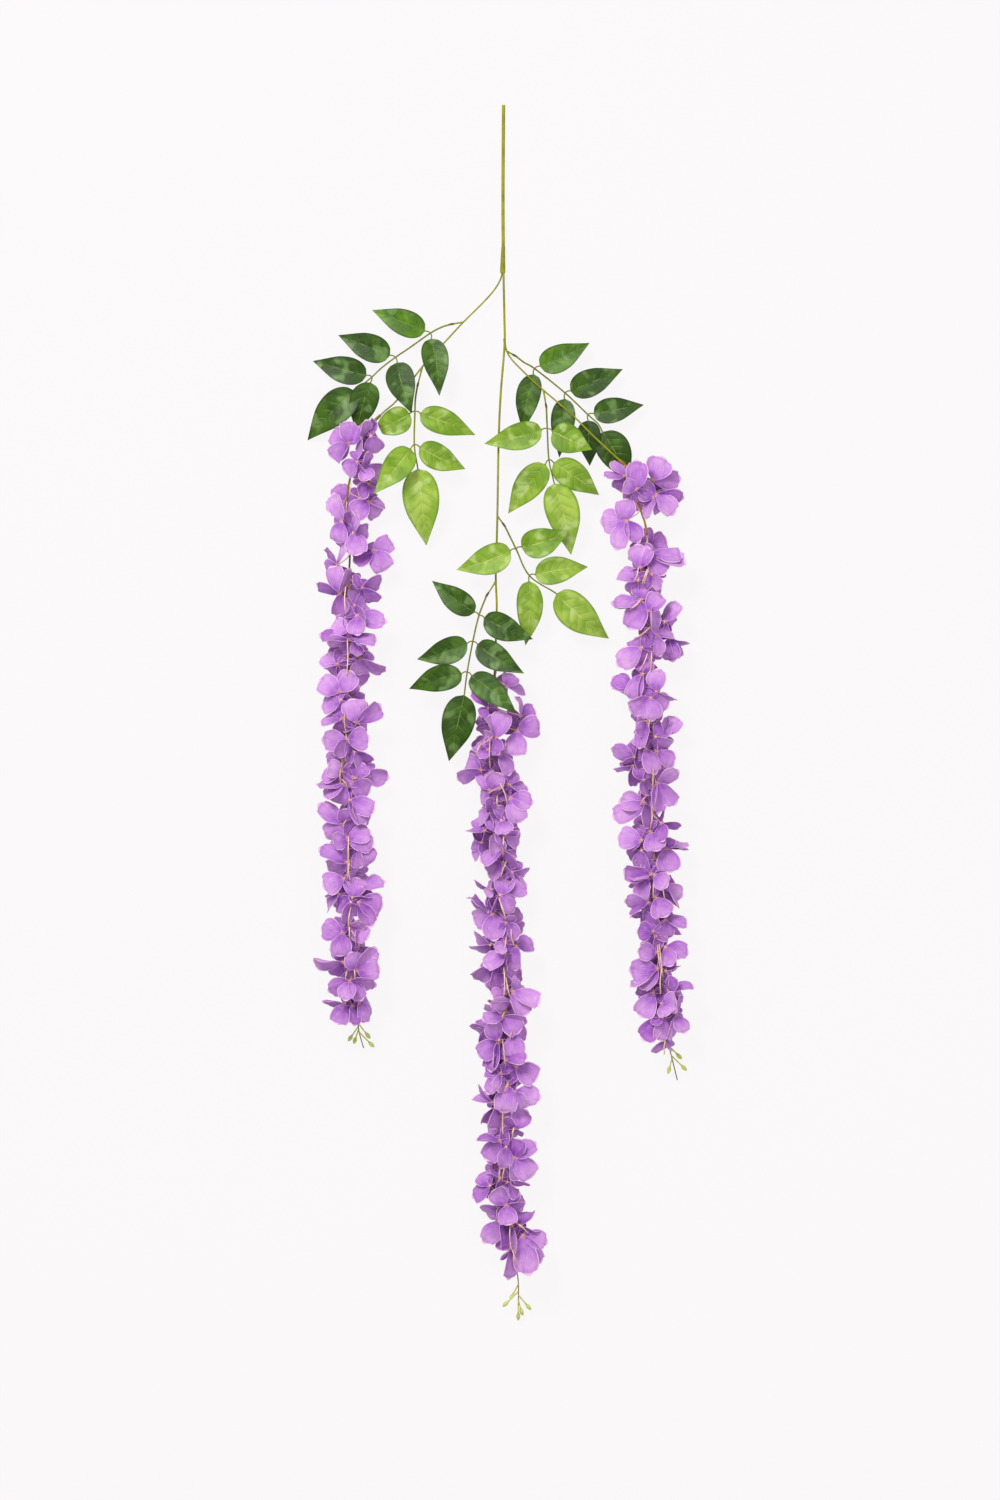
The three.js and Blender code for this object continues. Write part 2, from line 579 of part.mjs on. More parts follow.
function leafSpray(spray) {
  const route = spray.route.map(vector);
  const [root, middle] = route;
  const along = middle.clone().sub(root).normalize();
  const half = SPRAY_COLLAR_LENGTH / 2;
  const collarEnds = [-half, half].map((step) => middle.clone().addScaledVector(along, step));
  const collar = rod(collarEnds, [SPRAY_COLLAR_RADIUS, SPRAY_STALK_RADIUS + SPRAY_COLLAR_STEP], 6);
  const holeSpan = [-half - HOLE_OVERRUN, half / 2 + CLEARANCE];
  const holeEnds = holeSpan.map((step) => middle.clone().addScaledVector(along, step));
  const hole = rod(holeEnds, [PEG_RADIUS + CLEARANCE, PEG_RADIUS + CLEARANCE], 6);
  const stalkRoute = [middle.clone().addScaledVector(along, half - STALK_OVERLAP), ...route.slice(2)];
  const taper = SPRAY_STALK_TAPER / stalkRoute.length;
  const stalkRadii = stalkRoute.map((point, i) => SPRAY_STALK_RADIUS * (1 - taper * i));
  const pieces = [collar, rod(stalkRoute, stalkRadii, 4)];
  for (const [from, x, y, z, width, lift] of spray.leaflets) {
    const joint = route[from];
    const tip = new THREE.Vector3(x, y, z);
    const toTip = tip.clone().sub(joint).normalize();
    const stalkLength = from === route.length - 1 ? END_LEAF_STALK_LENGTH : LEAF_STALK_LENGTH;
    const base = joint.clone().addScaledVector(toTip, stalkLength);
    pieces.push(leaflet(joint, base, tip, width, lift));
  }
  return join(pieces).subtract(hole);
}

// The point of a rachis at one y
function rachisAt(raceme, y) {
  const rows = raceme.rachis;
  let i = 0;
  while (i < rows.length - 2 && rows[i + 1][1] > y) i += 1;
  const share = (rows[i][1] - y) / (rows[i][1] - rows[i + 1][1]);
  return vector(rows[i]).lerp(vector(rows[i + 1]), Math.min(Math.max(share, 0), 1));
}

// Where a flower sits: its middle on a round column about the rachis, and where its stalk leaves the rachis
function flowerSeat(raceme, row) {
  const [x, y, ...tips] = row;
  const axis = rachisAt(raceme, y);
  const aside = x - axis.x;
  const height = Math.sqrt(Math.max(REACH ** 2 - aside ** 2, 0)) + between(-REACH_PLAY, REACH_PLAY);
  const centre = new THREE.Vector3(x, y, axis.z + height);
  const petals = tips.map(([tipX, tipY, width]) => {
    const reach = Math.hypot(tipX - x, tipY - y) * between(SHORTEST_REACH_SHARE, 1);
    const outward = (tipX - x) * aside > 0;
    const rise = reach * between(-STEEPEST_FALL, outward ? 0 : STEEPEST_RISE);
    return { angle: Math.atan2(tipY - y, tipX - x), reach, rise, width };
  });
  if (petals.length === 1) {
    const angle = petals[0].angle + Math.PI + between(-HIDDEN_TURN, HIDDEN_TURN);
    petals.push({ angle, reach: HIDDEN_REACH, rise: -HIDDEN_DROP, width: PETAL_WIDTH });
  }
  return { centre, petals, root: rachisAt(raceme, y + PEDICEL_DROP) };
}

// A flower squeezed flat on the surface
function pressedSeat(raceme, y) {
  const axis = rachisAt(raceme, y);
  const centre = new THREE.Vector3(axis.x + between(-PRESSED_PLAY, PRESSED_PLAY), y, PETAL_THICKNESS / 2);
  const spin = between(0, Math.PI / 2);
  const petals = [0, 1, 2, 3].map((k) => (
    { angle: spin + (k * Math.PI) / 2, reach: PETAL_LENGTH, rise: 0, width: PETAL_WIDTH }
  ));
  return { centre, petals, root: rachisAt(raceme, y + PEDICEL_DROP) };
}

// Petals in turn round the flower's middle. Two that point almost the same way make one.
function inTurn(petals) {
  const full = 2 * Math.PI;
  const turned = petals.map((petal) => ({ ...petal, angle: ((petal.angle % full) + full) % full }));
  turned.sort((one, other) => one.angle - other.angle);
  const isApart = (petal, i) => i === 0 || petal.angle - turned[i - 1].angle > SMALLEST_PETAL_GAP;
  const apart = turned.filter(isApart);
  const wrap = apart[0].angle + full - apart[apart.length - 1].angle;
  return wrap > SMALLEST_PETAL_GAP ? apart : apart.slice(1);
}

// How steeply a flower's sheet rises from its middle on the way to a point
function sheetSlope(points, rim, target) {
  const [middle, ...rest] = points.map((point) => point.clone().sub(points[0]));
  const toward = target.clone().sub(points[0]).setZ(0).normalize();
  const cross = (one, other) => one.x * other.y - one.y * other.x;
  const sector = rim.map((a, i) => [rest[a - 1], rest[rim[(i + 1) % rim.length] - 1]])
    .find(([first, second]) => cross(first, toward) >= 0 && cross(toward, second) >= 0);
  const [first, second] = sector;
  const area = cross(first, second);
  return middle.z + (cross(toward, second) * first.z + cross(first, toward) * second.z) / area;
}

// A flower is one pressed sheet with petals round its middle, and its thin stalk grows from its back
function flower(seat) {
  const { centre, root } = seat;
  const petals = inTurn(seat.petals);
  const points = [centre.clone()];
  const turns = [0];
  const place = (angle, distance, rise) => {
    const outward = new THREE.Vector3(Math.cos(angle), Math.sin(angle), 0);
    const point = centre.clone().addScaledVector(outward, distance);
    point.z += rise;
    settle(point, outward, PETAL_THICKNESS);
    points.push(point);
    turns.push(angle - petals[0].angle);
  };
  petals.forEach((petal, i) => {
    const next = petals[(i + 1) % petals.length];
    const before = petals[(i + petals.length - 1) % petals.length];
    const full = 2 * Math.PI;
    const gap = i === petals.length - 1 ? next.angle + full - petal.angle : next.angle - petal.angle;
    const gapBefore = i === 0 ? petal.angle + full - before.angle : petal.angle - before.angle;
    const half = Math.atan2(SHOULDER_WIDTH * petal.width, SHOULDER_SHARE * petal.reach);
    const shoulder = SHOULDER_SHARE * petal.reach / Math.cos(half);
    const shoulderRise = SHOULDER_SHARE * petal.rise;
    place(petal.angle - Math.min(half, SHOULDER_GAP_SHARE * gapBefore), shoulder, shoulderRise);
    place(petal.angle, petal.reach, petal.rise);
    place(petal.angle + Math.min(half, SHOULDER_GAP_SHARE * gap), shoulder, shoulderRise);
    const steps = gap > WIDE_GAP ? [1 / 3, 2 / 3] : [1 / 2];
    for (const step of steps) place(petal.angle + step * gap, NOTCH_REACH, 0);
  });
  const count = points.length;
  const rim = points.map((point, i) => i).slice(1);
  const next = (i) => rim[(i + 1) % rim.length];
  const front = rim.map((a, i) => [0, a, next(i)]);
  const [upper, lower] = faces(points, front, PETAL_THICKNESS);
  const toRoot = root.clone().sub(centre);
  const slopeGap = sheetSlope(points, rim, root) - toRoot.z / Math.hypot(toRoot.x, toRoot.y);
  const facesUp = slopeGap > 0;
  const [face, reverse] = facesUp ? [upper, lower] : [lower, upper];

  // The back: a ring of three corners takes the place of the middle, and the stalk goes on from it
  const outOfBack = new THREE.Vector3(0, 0, facesUp ? -1 : 1);
  const start = reverse[0].clone().addScaledVector(outOfBack, PEDICEL_RADIUS);
  const tilt = new THREE.Quaternion();
  tilt.setFromUnitVectors(outOfBack, root.clone().sub(start).normalize());
  const corners = (middle) => [0, 1, 2].map((k) => {
    const angle = petals[0].angle + (k * 2 * Math.PI) / 3;
    const step = new THREE.Vector3(Math.cos(angle), Math.sin(angle), 0).applyQuaternion(tilt);
    return middle.clone().addScaledVector(step, PEDICEL_RADIUS);
  });
  const ring = 2 * count;
  const nearest = (a) => ring + (Math.round((3 * turns[a]) / (2 * Math.PI) + 3) % 3);
  const back = [];
  rim.forEach((a, i) => {
    const b = next(i);
    back.push([b + count, a + count, nearest(a)]);
    if (nearest(a) !== nearest(b)) back.push([b + count, nearest(a), nearest(b)]);
  });
  const stalk = [[ring + 3, ring + 5, ring + 4]];
  for (let a = ring; a < ring + 3; a += 1) {
    const b = a === ring + 2 ? ring : a + 1;
    stalk.push([a, a + 3, b + 3], [a, b + 3, b]);
  }
  const all = [...face, ...reverse, ...corners(start), ...corners(root)];
  const triangles = [...front, ...edgeBand(rim, count), ...back, ...stalk];
  const body = solid(all, facesUp ? triangles : triangles.map(([a, b, c]) => [a, c, b]));
  return { body, slopeGap };
}

// Of several draws of a flower, the one that stays clear of the leaves and cuts fewest of the flowers so far.
// A stalk that lies along its own petals is as bad as a leaf that is cut.
function clearFlower(drawSeat, placed, leaves) {
  const cuts = (body, other) => body.intersect(other).volume() > 0;
  let best = null;
  for (let trial = 0; trial < FLOWER_TRIALS && !(best && best.score === 0); trial += 1) {
    const seat = drawSeat();
    const near = placed.filter((other) => other.centre.distanceTo(seat.centre) < 3 * PETAL_LENGTH);
    const { body, slopeGap } = flower(seat);
    const flowersCut = near.filter((other) => cuts(body, other.body)).length;
    const leavesCut = leaves.filter((other) => cuts(body, other)).length;
    const faults = leavesCut + (Math.abs(slopeGap) < SMALLEST_SLOPE_GAP ? 1 : 0);
    const score = flowersCut + FAULT_WEIGHT * faults;
    if (!best || score < best.score) best = { centre: seat.centre, body, score };
  }
  return best;
}

function bud(raceme, row) {
  const tip = vector(row);
  const root = rachisAt(raceme, tip.y + BUD_DROP);
  const along = tip.clone().sub(root).normalize();
  const neck = tip.clone().addScaledVector(along, -BUD_LENGTH);
  const middle = tip.clone().addScaledVector(along, -BUD_LENGTH / 2);
  const radii = [BUD_STALK_RADIUS, BUD_STALK_RADIUS, BUD_RADIUS, BUD_STALK_RADIUS];
  return rod([root, neck, middle, tip], radii, 4);
}

function raceme(plan, leaves) {
  const collarRoute = plan.plug.slice(-2).map(vector);
  const along = collarRoute[1].clone().sub(collarRoute[0]).normalize();
  const end = collarRoute[1];
  const mouth = end.clone().addScaledVector(along, COLLAR_BOTTOM - RACEME_COLLAR_LENGTH);
  const bottom = end.clone().addScaledVector(along, COLLAR_BOTTOM);
  const collar = rod([mouth, bottom], [RACEME_COLLAR_RADIUS, RACEME_COLLAR_RADIUS], 6);
  const holeRadius = plan.plugRadius + CLEARANCE;
  const holeTop = mouth.clone().addScaledVector(along, -HOLE_OVERRUN);
  const holeBottom = end.clone().addScaledVector(along, CLEARANCE);
  const hole = rod([holeTop, holeBottom], [holeRadius, holeRadius], 8);
  const stalkTop = bottom.clone().addScaledVector(along, -STALK_OVERLAP);
  const stalkPoints = [stalkTop, ...plan.rachis.slice(1).map(vector)];
  const taper = (RACHIS_TOP_RADIUS - RACHIS_TIP_RADIUS) / stalkPoints.length;
  const stalk = rod(stalkPoints, stalkPoints.map((point, i) => RACHIS_TOP_RADIUS - taper * i), 4);
  const pieces = [collar, stalk];
  const placed = [];
  for (const y of plan.pressed) placed.push(clearFlower(() => pressedSeat(plan, y), placed, leaves));
  for (const row of plan.flowers) placed.push(clearFlower(() => flowerSeat(plan, row), placed, leaves));
  pieces.push(...placed.map((one) => one.body));
  for (const row of plan.buds) pieces.push(bud(plan, row));
  return join(pieces).subtract(hole);
}

// The bore of one wire in the sleeve, from outside the sleeve to just past the wire's end
function bore(outside, inside, radius) {
  const along = inside.clone().sub(outside).normalize();
  const end = inside.clone().addScaledVector(along, CLEARANCE);
  return rod([outside, end], [radius + CLEARANCE, radius + CLEARANCE], 8);
}

function sleeveWithBores() {
  const upper = UPPER_STEM_ROUTE.map(vector);
  const left = LEFT_BRANCH_ROUTE.map(vector);
  const centre = CENTRE_STEM_ROUTE.map(vector);
  const top = upper[1].clone().lerp(upper[2], STEM_BORE_SHARE);
  return rod(SLEEVE_RINGS.map(vector), SLEEVE_RINGS.map((ring) => ring[3]), 10)
    .subtract(bore(top, upper[2], UPPER_STEM_RADIUS))
    .subtract(bore(left[1], left[0], BRANCH_RADIUS))
    .subtract(bore(centre[1], centre[0], CENTRE_STEM_RADIUS));
}

function mesh(name, colour, roughness, body) {
  const { numProp, vertProperties, triVerts } = body.getMesh();
  const geometry = new THREE.BufferGeometry();
  const position = new Float32Array((vertProperties.length / numProp) * 3);
  for (let i = 0; i < position.length / 3; i += 1) {
    for (let k = 0; k < 3; k += 1) position[3 * i + k] = vertProperties[numProp * i + k];
  }
  geometry.setAttribute('position', new THREE.BufferAttribute(position, 3));
  geometry.setIndex(new THREE.BufferAttribute(new Uint32Array(triVerts), 1));
  geometry.computeVertexNormals();
  const material = new THREE.MeshStandardMaterial({ color: colour, roughness, flatShading: true });
  const piece = new THREE.Mesh(geometry, material);
  piece.name = name;
  return piece;
}

const [LEFT_DARK, LEFT_LIGHT, RIGHT_DARK, RIGHT_LIGHT, CENTRE_LIGHT, CENTRE_DARK] = SPRAYS;
const upperStem = rod(UPPER_STEM_ROUTE.map(vector), UPPER_STEM_ROUTE.map(() => UPPER_STEM_RADIUS), 8);
const leftBranch = join([
  wire(LEFT_BRANCH_ROUTE, BRANCH_RADIUS, BRANCH_RADIUS, 6, BRANCH_SPACING),
  sprayPeg(LEFT_DARK),
  sprayPeg(LEFT_LIGHT),
]);
const forkedStem = join([
  wire(CENTRE_STEM_ROUTE, CENTRE_STEM_RADIUS, CENTRE_STEM_END_RADIUS, 6, STEM_SPACING),
  wire(RIGHT_BRANCH_ROUTE, BRANCH_RADIUS, BRANCH_RADIUS, 6, BRANCH_SPACING),
  sprayPeg(RIGHT_DARK),
  sprayPeg(RIGHT_LIGHT),
  sprayPeg(CENTRE_LIGHT),
  sprayPeg(CENTRE_DARK),
]);

const spray = new THREE.Group();
spray.add(mesh('upper_stem', COLOURS.stem, 0.5, upperStem));
spray.add(mesh('fork_sleeve', COLOURS.stem, 0.5, sleeveWithBores()));
spray.add(mesh('left_branch', COLOURS.stem, 0.5, leftBranch));
spray.add(mesh('forked_stem', COLOURS.stem, 0.5, forkedStem));
const sprays = SPRAYS.map(leafSpray);
SPRAYS.forEach((plan, i) => spray.add(mesh(plan.name, plan.colour, 0.45, sprays[i])));
for (const plan of RACEMES) spray.add(mesh(plan.name, COLOURS.petal, 0.8, raceme(plan, sprays)));

export default spray;
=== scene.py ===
# %% [markdown]
# # An artificial wisteria spray
# The object is a long hanging spray made of coated wire, moulded plastic and pressed cloth.
# It lies on a pale surface, its cut stem at the top of the picture. Three flower strings run down from two forks,
# and six sprays of waxed cloth leaflets grow beside them.
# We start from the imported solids, which say where every piece is, and give each one its real surface.

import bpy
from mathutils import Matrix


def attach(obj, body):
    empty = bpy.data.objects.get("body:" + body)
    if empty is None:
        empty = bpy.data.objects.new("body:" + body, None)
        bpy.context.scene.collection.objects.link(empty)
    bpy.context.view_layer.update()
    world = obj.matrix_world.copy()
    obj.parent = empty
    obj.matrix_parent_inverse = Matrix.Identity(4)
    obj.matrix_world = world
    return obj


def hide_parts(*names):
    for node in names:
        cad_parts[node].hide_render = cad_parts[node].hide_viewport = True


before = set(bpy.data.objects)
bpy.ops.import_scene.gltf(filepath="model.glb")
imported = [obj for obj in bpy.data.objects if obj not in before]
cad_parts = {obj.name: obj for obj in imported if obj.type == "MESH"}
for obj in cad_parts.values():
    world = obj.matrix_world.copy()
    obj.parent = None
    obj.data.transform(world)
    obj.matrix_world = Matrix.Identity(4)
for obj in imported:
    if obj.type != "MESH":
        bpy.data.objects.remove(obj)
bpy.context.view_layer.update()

# %% Helpers that every step uses
import math
import random

import bpy
import numpy as np
from mathutils import Vector

MM = 0.001
UP = Vector((0, 0, 1))
rng = random.Random(11)


def deselect():
    if bpy.context.object and bpy.context.object.mode != "OBJECT":
        bpy.ops.object.mode_set(mode="OBJECT")
    bpy.ops.object.select_all(action="DESELECT")


def finish_piece(piece, name, slot, *nodes):
    """A finished piece gets its name, its body and the solids it stands for. The slot is not used."""
    piece.name = name
    piece.data.name = name
    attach(piece, "root")
    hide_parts(*nodes)
    print(name, len(piece.data.polygons), "faces")
    return piece


# %% [markdown]
# ## Camera
# The picture is 1000 x 1500 pixels and one pixel is 0.9 mm, so it shows 0.90 x 1.35 m of the surface.
# The camera looks straight down. A near one would show the raised flowers leaning outwards, so it stands far off
# with a long lens, which keeps the spray free of perspective, as the photograph is.

# %% Camera
PICTURE_HEIGHT = 1.35
PICTURE_CENTRE = (0.0, -0.03375)
FLOWER_HEIGHT = 0.02
LENS = 150.0
SENSOR = 36.0
FARTHEST_SEEN = 50

distance = PICTURE_HEIGHT * LENS / SENSOR
deselect()
bpy.ops.object.camera_add(location=(*PICTURE_CENTRE, FLOWER_HEIGHT + distance), rotation=(0, 0, 0))
camera = bpy.context.object
camera.name = "camera"
camera.data.lens = LENS
camera.data.sensor_width = SENSOR
camera.data.clip_end = FARTHEST_SEEN
bpy.context.scene.camera = camera
print("camera stands", round(distance, 2), "m above the flowers")

# %% [markdown]
# ## Light and floor
# The photograph has a nearly white ground and no hard shadow. A bright world gives light from all sides, one large
# soft lamp at the upper left models the petals, and a weaker one at the lower right lifts the shaded side.
# The floor is pale paper. It glows evenly by itself, so it shows nearly white wherever the lamps reach.

# %% Light
WORLD_COLOUR = (1.0, 0.99, 1.0, 1)
WORLD_STRENGTH = 0.5
LAMP_AIM = Vector((0, -0.03, 0))

world = bpy.data.worlds.new("studio")
world.use_nodes = True
world.node_tree.nodes["Background"].inputs["Color"].default_value = WORLD_COLOUR
world.node_tree.nodes["Background"].inputs["Strength"].default_value = WORLD_STRENGTH
bpy.context.scene.world = world
bpy.context.scene.view_settings.view_transform = "Standard"


def soft_lamp(name, place, size, power):
    deselect()
    bpy.ops.object.light_add(type="AREA", location=place)
    lamp = bpy.context.object
    lamp.name = name
    lamp.data.size = size
    lamp.data.energy = power
    lamp.rotation_euler = (LAMP_AIM - Vector(place)).to_track_quat("-Z", "Y").to_euler()
    print(name, power, "W")


soft_lamp("key_lamp", (-0.9, 1.5, 2.2), 0.9, 60)
soft_lamp("fill_lamp", (1.3, -0.9, 2.2), 1.8, 16)

# %% Floor
FLOOR_SIZE = 12
FLOOR_DEPTH = 0.0004
PAPER_COLOUR = (0.045, 0.044, 0.045, 1)
PAPER_GLOW = (1.0, 0.98, 0.99, 1)
GLOW_STRENGTH = 0.91

deselect()
bpy.ops.mesh.primitive_plane_add(size=FLOOR_SIZE, location=(0, 0, -FLOOR_DEPTH))
floor = bpy.context.object
floor.name = "floor"
paper = bpy.data.materials.new("pale_paper")
paper.use_nodes = True
shader = paper.node_tree.nodes["Principled BSDF"]
shader.inputs["Base Color"].default_value = PAPER_COLOUR
shader.inputs["Roughness"].default_value = 0.9
shader.inputs["Specular IOR Level"].default_value = 0.0
shader.inputs["Emission Color"].default_value = PAPER_GLOW
shader.inputs["Emission Strength"].default_value = GLOW_STRENGTH
floor.data.materials.append(paper)

# %% [markdown]
# ## Where everything is
# The wires, stalks, leaflets and flowers of such a spray are bent and set by hand, so no rule gives their places.
# These are the routes of the wires and stalks, in millimetres, and the middle of every flower as it shows from
# above. They were read from the photograph, and the heights are guessed.

# %% Routes of the wires
UPPER_STEM = [(3.2, 548.6, 1.5), (2.7, 466, 4.4), (3, 411.5, 6.4)]
LEFT_BRANCH = [
    (1.5, 406, 5.9), (1.5, 394, 5.9), (-4.6, 382, 7.2), (-16, 369, 8.7), (-33, 352, 10.8), (-50, 333.5, 13),
    (-70, 311.5, 15.4), (-92, 282, 18), (-103, 272, 19.3), (-112.5, 263, 20),
]
CENTRE_STEM = [
    (3.2, 406, 7.6), (3.2, 394, 7.6), (4, 353, 8.9), (4.1, 331, 9.7), (0.7, 288, 11.3), (-1.2, 246, 12.8),
    (-2.3, 181.5, 15.2), (-2.9, 155, 16.2), (-3.8, 121, 17.4), (-2.9, 95, 18.3), (-4, 56, 19.6), (-4.2, 42, 20),
]
RIGHT_BRANCH = [
    (4, 337, 9.5), (5.2, 328.5, 10), (10.4, 318.5, 11), (26.5, 302, 13), (39.2, 290.3, 14.5), (64.5, 268.5, 17.2),
    (81.5, 251.5, 18.8), (93, 240.5, 19.6), (112, 223, 20),
]

# %% Routes of the leaf sprays
# A route runs from the peg's root, through the collar's middle, to the last leaflet. A leaflet row is
# [stalk point it grows from, tip x, tip y, tip z, width, edge lift, tone]: tone 1 is the palest of its kind.
SPRAYS = {
    "left_dark_spray": {
        "wire": "left_branch",
        "slot": "dark_leaf",
        "route": [
            (-33, 352, 10.8), (-43.5, 350, 13), (-53, 347, 14.5), (-63, 341.5, 16), (-82, 328, 18),
            (-94.5, 319.5, 18.5), (-107, 310, 18), (-115.5, 302, 17), (-130, 290.5, 14),
        ],
        "leaflets": [
            (3, -115, 362.5, 13, 24, 2, 1), (3, -54.5, 285, 24, 24, 2, 0.25),
            (5, -145.5, 340, 12, 25, 2, 0), (5, -79.5, 269, 27, 26, 2, 0.1),
            (7, -168.5, 317, 8, 25, 2, 0), (7, -129, 252.5, 5, 26, 1, 0.3),
            (8, -173.5, 246, 3, 30, 2, 0.15),
        ],
    },
    "left_light_spray": {
        "wire": "left_branch",
        "slot": "light_leaf",
        "route": [
            (-70, 311.5, 15.4), (-74, 295, 19), (-76, 283, 22), (-76.5, 270.5, 25), (-77, 240.5, 28), (-74, 220, 26),
        ],
        "leaflets": [
            (3, -22.5, 250, 15, 24, 2, 0.35), (3, -110, 254.5, 31, 25, 2, 0.3),
            (4, -113, 196, 41, 26, 2, 0.35), (4, -31.5, 219.5, 15, 24, 2, 0.3),
            (5, -66.5, 151, 8, 33, 2, 1),
        ],
    },
    "right_dark_spray": {
        "wire": "forked_stem",
        "slot": "dark_leaf",
        "route": [
            (6.8, 325.4, 10.3), (13, 322, 10.8), (22, 315.5, 9.5), (31.5, 310, 9), (59, 288, 8.5),
            (79.5, 268.5, 8.5), (88.5, 260.5, 8), (92, 254, 7.5),
        ],
        "leaflets": [
            (3, 80.5, 333, 12, 25, 2, 0.9), (3, 21, 253, 4, 22, 1, 0.1),
            (4, 110.5, 309.5, 10, 25, 2, 0), (4, 53.5, 230.5, 3, 22, 1, 0.1),
            (5, 129.5, 277.5, 9, 23, 2, 0.1), (5, 81, 223, 3, 22, 1, 0),
            (7, 116, 207.5, 2, 30, 1, 0.2),
        ],
    },
    "right_light_spray": {
        "wire": "forked_stem",
        "slot": "light_leaf",
        "route": [(39.2, 290.3, 14.5), (41.5, 276, 19), (42.5, 255, 25), (44, 227, 28), (48.5, 207, 27)],
        "leaflets": [
            (2, -14, 242, 20, 25, 2, 0.3), (2, 82.5, 236.5, 24, 27, 2, 0.2),
            (3, 7.5, 179.5, 12, 26, 2, 0.5), (3, 89, 196, 15, 26, 2, 0.4),
            (4, 64, 142.5, 10, 31, 2, 0.9),
        ],
    },
    "centre_light_spray": {
        "wire": "forked_stem",
        "slot": "light_leaf",
        "route": [(-2.3, 177, 15.3), (3.5, 169, 18), (14.5, 147, 22), (26.5, 123, 24), (50, 107.5, 22)],
        "leaflets": [
            (2, -39, 128.5, 18, 27, 2, 0.8), (2, 62, 162.5, 22, 27, 2, 0.1),
            (3, 79, 131, 17, 25, 2, 0.5), (3, 23, 61, 7, 24, 1, 0.5),
            (4, 98, 67, 7, 31, 2, 0.8),
        ],
    },
    "centre_dark_spray": {
        "wire": "forked_stem",
        "slot": "dark_leaf",
        "route": [
            (-3.8, 118, 17.5), (-11.5, 106, 20), (-19, 87, 24), (-24.5, 63.5, 28), (-29.5, 36, 32), (-32, 16.5, 31),
        ],
        "leaflets": [
            (2, -61, 118.5, 16, 22, 2, 0.15), (2, 29.5, 66, 23, 24, 2, 0.1),
            (3, -74.5, 48, 16, 24, 2, 0.15), (3, 21.5, 35, 40, 24, 2, 0.05),
            (4, -81.5, 21.5, 17, 24, 2, 0.15), (4, 14.5, -0.5, 46, 24, 2, 0.25),
            (5, -46, -43.5, 12, 30, 2, 0.1),
        ],
    },
}
